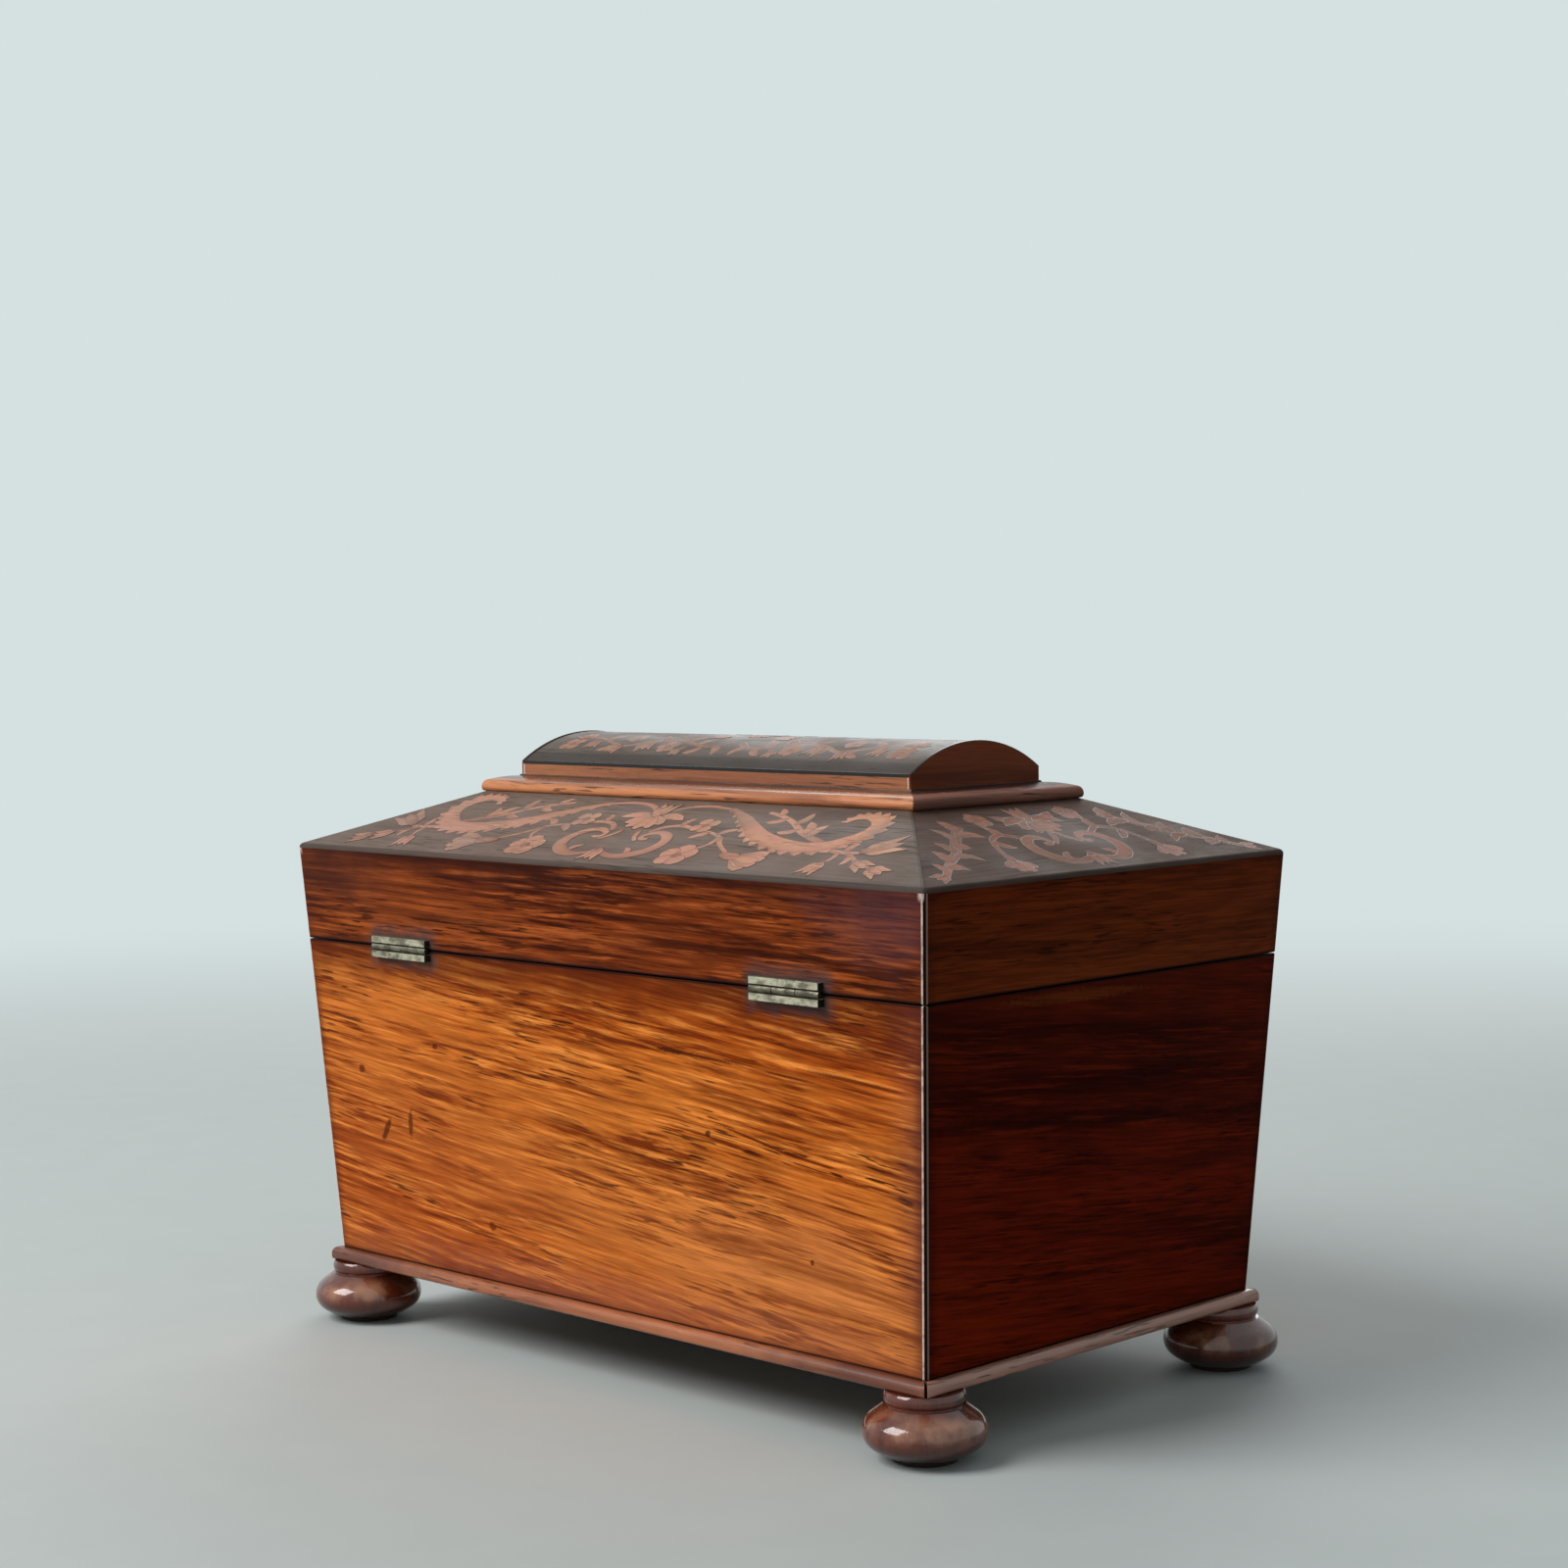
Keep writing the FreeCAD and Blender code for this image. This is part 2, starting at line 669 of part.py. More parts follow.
def build_bolt():
    """Make the sliding bolt: a bar with a talon for the key, and two posts with fingers."""
    thick = about("lock_plane", "(lock_cavity_depth / 2 - bolt_clearance)")
    bar_top = "case_rim - bolt_bar_drop"
    bar_bottom = f"{bar_top} - bolt_bar_height"
    bar_end = "finger_tip - bolt_finger_length"
    bar_start = f"{bar_end} - staple_spacing - bolt_post_thickness - bolt_tail"
    bar = block("bolt_bar", (bar_start, bar_end), thick, (bar_bottom, bar_top))
    talon = block("bolt_talon", about("0", "talon_width / 2"), about("lock_plane", "lock_depth / 2"),
                  (f"{bar_bottom} - cut_overrun", f"{bar_bottom} + talon_height"))
    pieces = [cut("bolt_bar_cut", bar, [talon])]
    for index, shift in enumerate(("0", "-staple_spacing")):
        post_end = f"{bar_end} + {shift}"
        pieces.append(block(f"bolt_post_{index}", (f"{post_end} - bolt_post_thickness", post_end), thick,
                            (bar_top, "finger_level + bolt_finger_diameter / 2")))
        pieces.append(rod(f"bolt_finger_{index}", "bolt_finger_diameter / 2", "bolt_finger_length", post_end,
                          "lock_plane", "finger_level", Vector(1, 0, 0)))
    keep(joined("bolt", pieces), "lock_bolt")


def build_link_plate(depth, spots):
    """Make the plate in the lid with its two staples and return the drills for its screws."""
    drills = screw_set("link_screws", spots, "lid_rim", ABOVE)
    pieces = [
        block("link_blank", about("0", "lock_plate_length / 2"), depth,
              ("lid_rim", "lid_rim + link_plate_thickness")),
    ]
    for side, sign in SIDE_SIGNS.items():
        middle = f"{sign} * staple_spacing / 2"
        pieces.append(block(f"staple_{side}", about(middle, "staple_thickness / 2"),
                            about("lock_plane", "staple_width / 2"), ("case_rim - staple_drop", "lid_rim")))
    eyes = rod("staple_eyes", "staple_eye_diameter / 2", "lock_length", "-lock_length / 2",
               "lock_plane", "finger_level", Vector(1, 0, 0))
    keep(cut("link_plate_cut", joined("link_blank_joined", pieces), [eyes] + drills), "link_plate")
    return drills


# Case


def build_case():
    """Make the four walls, cut for the hinges and the lock, and return the cuts of the lid."""
    floor, rim = case_outline("case_floor"), case_outline("case_rim")
    walls = {
        side: frame_side(f"{side}_wall_board", side, floor, rim, "wall_thickness", "corner_round")
        for side in SIDE_ANGLES
    }
    back_cuts, lid_back_cuts = build_hinges()
    front_cuts, lid_front_cuts = build_lock(walls["front"])
    keep(cut("back_wall_cut", walls["back"], back_cuts), "back_wall")
    keep(cut("front_wall_cut", walls["front"], front_cuts), "front_wall")
    keep(walls["left"], "left_wall")
    keep(walls["right"], "right_wall")
    return lid_back_cuts, lid_front_cuts


def build_lining():
    """Line the inside with a floor, four side boards and two partitions."""
    lined = "wall_thickness + lining_thickness"
    keep(tapered_board("floor_board", case_outline("case_floor", "wall_thickness"),
                       case_outline("floor_top", "wall_thickness")), "floor_lining")
    for side in SIDE_ANGLES:
        board = frame_side(f"{side}_lining_board", side, case_outline("floor_top", "wall_thickness"),
                           case_outline("lining_top", "wall_thickness"), "lining_thickness")
        keep(board, f"{side}_lining")
    for side, sign in SIDE_SIGNS.items():
        outlines = [
            case_outline(level, lined)._replace(half_length="partition_thickness / 2")
            for level in ("floor_top", "partition_top")
        ]
        keep(tapered_board(f"{side}_partition_board", *outlines, f"{sign} * partition_place"),
             f"partition_{side}")


def strip_section(depth):
    """Give the thumb-shaped section of a base strip."""
    outer, inner = depth, f"{depth} - strip_projection"
    return [
        Corner(inner, "foot_height"),
        Corner(f"{outer} - strip_under_round", "foot_height", "strip_under_round"),
        Corner(outer, "foot_height + strip_under_round"),
        Corner(outer, "case_floor - strip_round", "strip_round"),
        Corner(f"{outer} - strip_round", "case_floor"),
        Corner(inner, "case_floor"),
    ]


def build_base():
    """Make the base board, its edge strips and the four turned feet."""
    feet = {
        f"foot_{end}_{side}": (
            f"{sign} * (base_length / 2 + strip_projection - foot_inset)",
            f"{turn} * (base_depth / 2 + strip_projection - foot_inset)",
        )
        for end, turn in (("back", 1), ("front", -1))
        for side, sign in SIDE_SIGNS.items()
    }
    board = block("base_blank", about("0", "base_length / 2"), about("0", "base_depth / 2"),
                  ("foot_height", "case_floor"))
    holes = [
        rod(f"{label}_hole", "spigot_diameter / 2 + spigot_fit", "base_height + 2 * cut_overrun",
            across, back, "foot_height - cut_overrun")
        for label, (across, back) in feet.items()
    ]
    keep(cut("base_board_cut", board, holes), "base_board")
    outside = Outline("foot_height", "base_length / 2 + strip_projection",
                      "base_depth / 2 + strip_projection")
    for side in SIDE_ANGLES:
        mitred_moulding(f"base_strip_{side}", side, outside, "strip_projection", strip_section, "mitre_gap")
    for label, (across, back) in feet.items():
        build_foot(label, across, back)


def round_radius(reach, rise):
    """Give the radius of an arc that starts upright, moves in by a reach and rises by a height."""
    return f"(({reach}) ^ 2 + ({rise}) ^ 2) / (2 * ({reach}))"


def build_foot(label, across, back):
    """Turn one bun foot with its pad, neck ring and spigot."""
    body = new_body(label + "_turning")
    bun, pad, neck = "bun_diameter / 2", "pad_diameter / 2", "neck_diameter / 2"
    groove = f"{neck} - neck_groove"
    widest, ring_level = "pad_height + bun_belly_height", "neck_level + neck_groove_height"
    profile = closed_profile(
        body, label + "_profile", "XZ_Plane", "0",
        [
            Corner("0", "0"),
            Corner(pad, "0"),
            Corner(pad, "pad_height", "bun_under_round"),
            Corner(f"{bun} - bun_belly_reach", f"{widest} - bun_belly_rise",
                   round_radius("bun_belly_reach", "bun_belly_rise")),
            Corner(bun, widest, round_radius("bun_shoulder_reach", "bun_shoulder_rise")),
            Corner(f"{bun} - bun_shoulder_reach", f"{widest} + bun_shoulder_rise"),
            Corner(neck, "neck_level"),
            Corner(groove, "neck_level"),
            Corner(groove, ring_level, "neck_ring_round"),
            Corner(groove, "foot_height"),
            Corner("spigot_diameter / 2", "foot_height"),
            Corner("spigot_diameter / 2", "case_floor"),
            Corner("0", "case_floor"),
        ],
    )
    turning = body.newObject("PartDesign::Revolution", label + "_turn")
    turning.Profile = profile
    turning.ReferenceAxis = (profile, ["V_Axis"])
    turning.Angle = 360
    move(body, across, back)
    keep(body, label)


# Lid


def build_frieze(back_cuts, front_cuts):
    """Make the lid's four rails and the ceiling board inside them."""
    low, high = case_outline("lid_rim"), case_outline("lid_edge")
    rails = {
        side: frame_side(f"{side}_rail_board", side, low, high, "wall_thickness", "corner_round")
        for side in SIDE_ANGLES
    }
    keep(cut("back_rail_cut", rails["back"], back_cuts), "lid_rail_back")
    keep(cut("front_rail_cut", rails["front"], front_cuts), "lid_rail_front")
    keep(rails["left"], "lid_rail_left")
    keep(rails["right"], "lid_rail_right")
    keep(tapered_board("ceiling_board", case_outline("ceiling_level", "wall_thickness"),
                       case_outline("lid_edge", "wall_thickness")), "lid_ceiling")


def build_roof():
    """Make the four sloping boards and the marquetry veneers on them."""
    for side in SIDE_ANGLES:
        layers = (
            ("slope_veneer", "0", "veneer_width", "corner_round"),
            ("slope_board", "veneer_width", "slope_width", None),
        )
        for name, inset, width, corner_round in layers:
            low, high = roof_outline("lid_edge", "0", inset), roof_outline("crown_level", "slope_run", inset)
            keep(frame_side(f"{name}_{side}_side", side, low, high, width, corner_round), f"{name}_{side}")


def nosing_section(depth):
    """Give the section of the nosing: a thumb moulding with a bead against the plinth."""
    plinth = f"{depth} - nosing_projection"
    inner = f"{plinth} - nosing_tuck"
    return [
        Corner(inner, "crown_level"),
        Corner(f"{depth} - under_round", "crown_level", "under_round"),
        Corner(depth, "nose_level", "nose_round"),
        Corner(f"{plinth} + thumb_run", "thumb_level", "thumb_radius"),
        Corner(f"{plinth} + bead_size", "plinth_level", "bead_size"),
        Corner(plinth, "plinth_level + bead_size"),
        Corner(plinth, "plinth_level"),
        Corner(inner, "plinth_level"),
    ]


def build_crown():
    """Make the crown board and the nosing round it."""
    board = block("crown_blank", about("0", "(plinth_half_length - nosing_tuck)"),
                  about("0", "(plinth_half_depth - nosing_tuck)"), ("crown_level", "plinth_level"))
    keep(board, "crown_board")
    outside = Outline("crown_level", "crown_half_length", "crown_half_depth")
    for side in SIDE_ANGLES:
        mitred_moulding(f"nosing_{side}", side, outside, "nosing_projection + nosing_tuck", nosing_section)


def dome_part(label, corners, length, across="0"):
    """Extrude a cross-section of the dome along the box."""
    body = new_body(label + "_form")
    extrude(body, closed_profile(body, label + "_section", "YZ_Plane", "0", corners), length)
    move(body, across)
    keep(body, label)


def build_dome():
    """Make the dome's core, its marquetry veneer, its end facings, its bands and its dark lines."""
    half, core = "plinth_half_depth", "plinth_half_depth - band_thickness"
    core_length = "2 * (plinth_half_length - band_thickness)"
    dome_part("dome_core", [
        Corner(f"-({core})", "plinth_level"),
        Corner(core, "plinth_level"),
        Corner(core, "dome_level"),
        Corner("dome_core_half", "dome_level", "dome_core_radius"),
        Corner("-dome_core_half", "dome_level"),
        Corner(f"-({core})", "dome_level"),
    ], core_length)
    dome_part("dome_veneer", [
        Corner("dome_core_half", "dome_level"),
        Corner(half, "dome_level", "dome_radius"),
        Corner(f"-{half}", "dome_level"),
        Corner("-dome_core_half", "dome_level", "dome_core_radius", -1),
    ], core_length)
    for side, sign in SIDE_SIGNS.items():
        dome_part(f"dome_end_{side}", [
            Corner(f"-{half}", "plinth_level"),
            Corner(half, "plinth_level"),
            Corner(half, "dome_level", "dome_radius"),
            Corner(f"-{half}", "dome_level"),
        ], "band_thickness", f"{sign} * (plinth_half_length - band_thickness / 2)")
    line_level = "dome_level - line_height"
    for side, limits in (("back", (core, half)), ("front", (f"-{half}", f"-({core})"))):
        along = about("0", "(plinth_half_length - band_thickness)")
        keep(block(f"{side}_band", along, limits, ("plinth_level", line_level)), f"plinth_band_{side}")
        keep(block(f"{side}_line", along, limits, (line_level, "dome_level")), f"dark_line_{side}")


def write_parts():
    """Check every object and write one file for each sub-part."""
    doc.recompute()
    faults = [thing.Name for thing in doc.Objects if {"Invalid", "Error"} & set(thing.State)]
    faults += [node.Label for node in nodes if node.Shape.isNull() or not node.Shape.isValid()]
    if faults:
        raise RuntimeError("failed objects: " + ", ".join(faults))
    os.makedirs("parts", exist_ok=True)
    for node in nodes:
        node.Shape.exportStep(f"parts/{node.Label}.step")
        print(node.Label, len(node.Shape.Solids), round(node.Shape.Volume, 2))


lid_back_cuts, lid_front_cuts = build_case()
build_screws()
build_lining()
build_base()
build_frieze(lid_back_cuts, lid_front_cuts)
build_roof()
build_crown()
build_dome()
write_parts()
print(len(nodes), "sub-parts")
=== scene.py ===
"""Dress a rosewood box with a marquetry lid.

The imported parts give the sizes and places. Lengths are millimetres here, and metres once a mesh is made.
"""

from __future__ import annotations

import logging
import math
from collections.abc import Callable, Iterable, Sequence
from dataclasses import dataclass, replace
from enum import Enum
from functools import cache

import bmesh
import bpy
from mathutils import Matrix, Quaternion, Vector


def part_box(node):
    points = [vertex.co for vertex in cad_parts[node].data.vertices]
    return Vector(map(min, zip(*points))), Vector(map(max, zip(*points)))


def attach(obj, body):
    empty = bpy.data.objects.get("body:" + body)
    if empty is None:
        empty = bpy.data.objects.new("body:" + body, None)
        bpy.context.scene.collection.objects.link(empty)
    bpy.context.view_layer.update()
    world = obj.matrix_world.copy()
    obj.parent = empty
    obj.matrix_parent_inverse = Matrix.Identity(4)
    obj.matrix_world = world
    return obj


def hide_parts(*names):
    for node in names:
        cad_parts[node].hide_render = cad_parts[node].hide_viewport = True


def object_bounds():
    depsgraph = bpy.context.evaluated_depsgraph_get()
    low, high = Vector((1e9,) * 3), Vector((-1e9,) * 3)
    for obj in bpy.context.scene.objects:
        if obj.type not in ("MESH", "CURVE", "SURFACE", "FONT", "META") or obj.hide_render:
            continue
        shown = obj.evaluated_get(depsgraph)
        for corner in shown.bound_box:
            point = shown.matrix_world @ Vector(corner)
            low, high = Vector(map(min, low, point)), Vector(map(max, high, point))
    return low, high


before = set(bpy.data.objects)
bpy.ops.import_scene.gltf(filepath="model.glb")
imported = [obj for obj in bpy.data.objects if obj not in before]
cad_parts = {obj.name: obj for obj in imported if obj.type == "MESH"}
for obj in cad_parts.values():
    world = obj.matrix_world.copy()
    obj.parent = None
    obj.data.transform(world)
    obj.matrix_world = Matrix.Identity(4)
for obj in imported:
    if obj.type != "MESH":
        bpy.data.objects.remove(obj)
CAD_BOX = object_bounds()

MM = 0.001
WELD = 0.002 * MM
SHARP, FLAT = math.radians(32), math.radians(1)
log = logging.getLogger("marquetry_box")

Flat = tuple[float, float]
Loop = Sequence[Vector]
Form = bmesh.types.BMesh
Thing = bpy.types.Object
Socket = bpy.types.NodeSocket
Tree = bpy.types.NodeTree
Placer = Callable[[float, float, float], Vector]


def box(node: str) -> tuple[Vector, Vector]:
    """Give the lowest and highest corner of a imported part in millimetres."""
    low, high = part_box(node)
    return low / MM, high / MM


def tint(code: str) -> tuple[float, float, float, float]:
    """Turn a screen colour of six hex digits into the linear colour, with full opacity, that shaders take."""
    shares = [int(code[place:place + 2], 16) / 255 for place in (0, 2, 4)]
    return (*(s / 12.92 if s <= 0.04045 else ((s + 0.055) / 1.055) ** 2.4 for s in shares), 1.0)


def arc(centre: Flat, radius: float, start: float, end: float, steps: int) -> list[Flat]:
    """Give the points of an arc of so many chords, from one angle to another in degrees, both ends included."""
    angles = [math.radians(start + (end - start) * step / steps) for step in range(steps + 1)]
    return [(centre[0] + radius * math.cos(a), centre[1] + radius * math.sin(a)) for a in angles]


def arch_radius(rise: float, half: float) -> float:
    """Give the radius of an arch from its rise and half its width."""
    return (rise ** 2 + half ** 2) / (2 * rise)


def bowed(start: Flat, end: Flat, radius: float, steps: int) -> list[Flat]:
    """Give points on an arc that bows out to the right of the way from its start to its end.

    Args:
        start: The first point.
        end: The last point.
        radius: The arc's radius.
        steps: How many facets it has.

    Returns:
        The points in order.
    """
    first, last = Vector(start), Vector(end)
    chord = last - first
    left = Vector((-chord.y, chord.x)).normalized()
    centre = (first + last) / 2 + left * math.sqrt(radius ** 2 - chord.length_squared / 4)
    angles = [math.degrees(math.atan2(*(point - centre).yx)) for point in (first, last)]
    return arc(tuple(centre), radius, *angles, steps)


def smooth_line(points: Sequence[Flat], steps: int) -> list[Flat]:
    """Run a smooth curve through given points.

    Args:
        points: The points that the curve passes.
        steps: How many chords there are between two of them.

    Returns:
        The curve's points.
    """
    knots = [Vector(point) for point in (points[0], *points, points[-1])]
    line = []
    for a, b, c, d in zip(knots, knots[1:], knots[2:], knots[3:]):
        for step in range(steps):
            t = step / steps
            bend = (2 * a - 5 * b + 4 * c - d) * t ** 2 + (3 * b - a - 3 * c + d) * t ** 3
            line.append(tuple(b + ((c - a) * t + bend) / 2))
    return [*line, tuple(knots[-1])]


def loft(loops: Sequence[Loop], ring: bool = False) -> Form:
    """Skin closed loops of points, one after the other.

    Args:
        loops: The loops in millimetres, each with as many points.
        ring: Whether the last loop joins the first. Otherwise both ends get a cap.

    Returns:
        The closed form in metres.
    """
    form = bmesh.new()
    rows = [[form.verts.new(Vector(point) * MM) for point in loop] for loop in loops]
    for near, far in zip(rows, rows[1:] + rows[:1] if ring else rows[1:]):
        for index in range(len(near)):
            after = (index + 1) % len(near)
            form.faces.new((near[index], near[after], far[after], far[index]))
    if not ring:
        form.faces.new(rows[0][::-1])
        form.faces.new(rows[-1])
    bmesh.ops.remove_doubles(form, verts=form.verts, dist=WELD)
    bmesh.ops.recalc_face_normals(form, faces=form.faces)
    return form


def turned(profile: Sequence[Flat], centre: Flat, steps: int) -> Form:
    """Turn a profile of radius and level, from axis to axis, about an upright axis in so many facets."""
    ways = [(math.cos(a), math.sin(a)) for a in (math.tau * step / steps for step in range(steps))]
    return loft([[Vector((centre[0] + r * c, centre[1] + r * s, z)) for r, z in profile] for c, s in ways], ring=True)


def block(low: Sequence[float], high: Sequence[float]) -> Form:
    """Make a plain block between its lowest and its highest corner."""
    corners = ((low[0], low[1]), (high[0], low[1]), (high[0], high[1]), (low[0], high[1]))
    return loft([[Vector((x, y, z)) for x, y in corners] for z in (low[2], high[2])])


def softened(node: str, width: float, steps: int = 2) -> Form:
    """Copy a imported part's shape and ease its sharp edges.

    Args:
        node: The part's name.
        width: How wide the eased edges are.
        steps: How many facets an eased edge has.

    Returns:
        The eased form.
    """
    form = bmesh.new()
    form.from_mesh(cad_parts[node].data)
    bmesh.ops.remove_doubles(form, verts=form.verts, dist=WELD)
    bmesh.ops.dissolve_limit(form, angle_limit=FLAT, verts=form.verts, edges=form.edges)
    sharp = [edge for edge in form.edges if edge.is_manifold and edge.calc_face_angle() > SHARP]
    bmesh.ops.bevel(form, geom=sharp, offset=width * MM, segments=steps, profile=0.5, affect="EDGES",
                    clamp_overlap=True)
    bmesh.ops.recalc_face_normals(form, faces=form.faces)
    return form


def into_scene(name: str, data: bpy.types.ID) -> Thing:
    """Put a mesh, a light or a camera into the scene.

    Args:
        name: The object's name.
        data: What it shows.

    Returns:
        The object.
    """
    thing = bpy.data.objects.new(name, data)
    bpy.context.scene.collection.objects.link(thing)
    return thing


def to_thing(name: str, form: Form) -> Thing:
    """Make an object of a form.

    Args:
        name: The object's name.
        form: The form, which is used up.

    Returns:
        The object in the scene.
    """
    data = bpy.data.meshes.new(name)
    form.to_mesh(data)
    form.free()
    for leftover in [a for a in data.attributes if a.name == "custom_normal"]:
        data.attributes.remove(leftover)
    data.materials.clear()
    return into_scene(name, data)


def carve(thing: Thing, cutters: Iterable[Form]) -> None:
    """Cut forms out of an object.

    Args:
        thing: The object.
        cutters: The forms, which are used up.
    """
    for cutter in cutters:
        tool = to_thing("cutter", cutter)
        cut = thing.modifiers.new("cut", "BOOLEAN")
        cut.operation, cut.solver, cut.object = "DIFFERENCE", "EXACT", tool
        depsgraph = bpy.context.evaluated_depsgraph_get()
        whole, thing.data = thing.data, bpy.data.meshes.new_from_object(thing.evaluated_get(depsgraph))
        thing.modifiers.clear()
        bpy.data.meshes.remove(whole)
        bpy.data.meshes.remove(tool.data)


class Body(Enum):
    """A body of the box that moves as one."""

    CASE = "case"
    LID = "lid"
    BOLT = "lock_bolt"


def dress(thing: Thing, body: Body, slot: str, finishes: Sequence[Finish], nodes: Sequence[str] = ()) -> None:
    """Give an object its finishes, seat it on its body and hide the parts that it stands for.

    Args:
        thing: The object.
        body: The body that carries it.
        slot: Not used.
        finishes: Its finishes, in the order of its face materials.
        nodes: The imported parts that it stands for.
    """
    for finish in finishes:
        thing.data.materials.append(finish.material())
    thing.data.shade_smooth()
    thing.data.set_sharp_from_angle(angle=SHARP)
    even = thing.modifiers.new("even_normals", "WEIGHTED_NORMAL")
    even.keep_sharp = True
    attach(thing, body.value)
    if nodes:
        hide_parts(*nodes)
    log.info("%s on %s: %d faces", thing.name, body.value, len(thing.data.polygons))


class Kind(Enum):
    """What a socket of a node group carries."""

    VALUE = "NodeSocketFloat"
    VECTOR = "NodeSocketVector"


VECTORS = ("Place", "Centre", "Size")


class Grain(Enum):
    """The way that a wood's grain runs, as the order of the axes along and across it."""

    ALONG_X = (0, 1, 2)
    ALONG_Y = (1, 0, 2)
    ALONG_Z = (2, 0, 1)


class Graph:
    """Adds nodes to a shader tree, each with its settings and links in one call."""

    def __init__(self, tree: Tree) -> None:
        """Keep the tree that the nodes go to."""
        self.tree = tree

    def add(self, kind: str, inputs: dict | None = None, **settings: object) -> bpy.types.Node:
        """Add a node.

        Args:
            kind: The node's type, without its usual first words.
            inputs: Sockets or plain values for its inputs, by name or place.
            settings: The node's own settings.

        Returns:
            The node.
        """
        node = self.tree.nodes.new("ShaderNode" + kind)
        for key, value in settings.items():
            setattr(node, key, value)
        for key, value in (inputs or {}).items():
            if isinstance(value, Socket):
                self.tree.links.new(value, node.inputs[key])
            else:
                node.inputs[key].default_value = value
        return node

    def effect(self, group: Tree, **inputs: object) -> bpy.types.bpy_prop_collection:
        """Place a node group and give its outputs."""
        return self.add("Group", inputs, node_tree=group).outputs

    def math(self, operation: str, *values: Socket | float) -> Socket:
        """Work out one number from others."""
        return self.add("Math", dict(enumerate(values)), operation=operation).outputs[0]

    def times(self, first: Socket, second: Socket | float) -> Socket:
        """Multiply two numbers."""
        return self.math("MULTIPLY", first, second)

    def vector(self, operation: str, *values: Socket | Sequence[float]) -> Socket:
        """Work out one vector from others."""
        return self.add("VectorMath", dict(enumerate(values)), operation=operation).outputs[0]

    def split(self, place: Socket) -> list[Socket]:
        """Give the three parts of a vector."""
        return list(self.add("SeparateXYZ", {0: place}).outputs)

    def parts(self, place: Socket) -> list[Socket]:
        """Give the three parts of a place in millimetres."""
        return self.split(self.vector("MULTIPLY", place, (1 / MM,) * 3))

    def apart(self, first: Socket, second: Socket | float) -> Socket:
        """Give how far two values lie apart."""
        return self.math("ABSOLUTE", self.math("SUBTRACT", first, second))

    def join(self, *parts: Socket | float) -> Socket:
        """Make a vector of three parts."""
        return self.add("CombineXYZ", dict(enumerate(parts))).outputs[0]

    def ease(self, value: Socket, low: Socket | float, high: Socket | float, start: float = 0.0,
             end: float = 1.0) -> Socket:
        """Turn a value into a soft step between two others, and give its start before it and its end after it."""
        inputs = {"Value": value, "From Min": low, "From Max": high, "To Min": start, "To Max": end}
        return self.add("MapRange", inputs, interpolation_type="SMOOTHSTEP").outputs[0]

    def mix(self, share: Socket | float, first: object, second: object, blend: str = "MIX") -> Socket:
        """Mix two colours, by how much of the second shows and by the way that it is laid on."""
        node = self.add("Mix", {0: share, 6: first, 7: second}, data_type="RGBA", blend_type=blend)
        return node.outputs[2]

    def lay(self, mask: Socket, share: float, colour: Socket, over: str) -> Socket:
        """Lay a share of one colour over another where a mask says."""
        return self.mix(self.times(mask, share), colour, tint(over))

    def noise(self, place: Socket, scale: float | Sequence[float], detail: float = 2.0,
              roughness: float = 0.5) -> Socket:
        """Add noise whose grains may be longer one way than another.

        Args:
            place: Where it is looked up, in metres.
            scale: Grains per metre, one number or one for each axis.
            detail: How many finer layers it has.
            roughness: How strong they are.

        Returns:
            The noise, about a half on average.
        """
        stretch = scale if isinstance(scale, (tuple, list)) else (scale,) * 3
        spot = self.vector("MULTIPLY", place, stretch)
        inputs = {"Vector": spot, "Scale": 1.0, "Detail": detail, "Roughness": roughness}
        return self.add("TexNoise", inputs).outputs[0]

    def object_place(self) -> Socket:
        """Give the place on the piece in the box's own frame."""
        return self.add("TexCoord").outputs["Object"]

    def grain_place(self, grain: Grain, tilt: float = 0.0) -> Socket:
        """Give the place with its first axis along the grain.

        Args:
            grain: The way that the grain runs.
            tilt: How much the grain climbs along its run.

        Returns:
            The turned place.
        """
        parts = self.split(self.object_place())
        along, near, far = (parts[axis] for axis in grain.value)
        climb = self.times(along, tilt)
        return self.join(along, near, self.math("ADD", far, climb))


def new_group(name: str, takes: str, gives: str) -> tuple[Graph, dict, Callable]:
    """Start a shader node group.

    Args:
        name: The group's name.
        takes: The names of its inputs.
        gives: The names of its outputs.

    Returns:
        Its graph, its inputs as sockets, and a function that sets an output.
    """
    tree = bpy.data.node_groups.new(name, "ShaderNodeTree")
    for way, labels in (("INPUT", takes), ("OUTPUT", gives)):
        for label in labels.split():
            kind = Kind.VECTOR if label in VECTORS else Kind.VALUE
            tree.interface.new_socket(label, in_out=way, socket_type=kind.value)
    inside, outside = tree.nodes.new("NodeGroupInput"), tree.nodes.new("NodeGroupOutput")
    taken = {label: inside.outputs[label] for label in takes.split()}

    def give(label: str, socket: Socket) -> None:
        """Link a socket to one of the group's outputs."""
        tree.links.new(socket, outside.inputs[label])

    return Graph(tree), taken, give


# Grains per metre, along the wood or the metal and across it.
DRIFT, CLOUDS, CROWDS = (9, 26, 26), (6, 26, 26), (14, 70, 70)
FIBRES, STREAKS, PORES = (42, 1300, 1300), (30, 600, 600), (75, 1150, 1150)
DULL, HAIRS, RIPPLE = (35, 60, 60), ((60, 1900, 700), (900, 90, 1400)), 45
PATCHES, FILE_MARKS, PITS = (260, 420, 420), (160, 5200, 5200), 2600


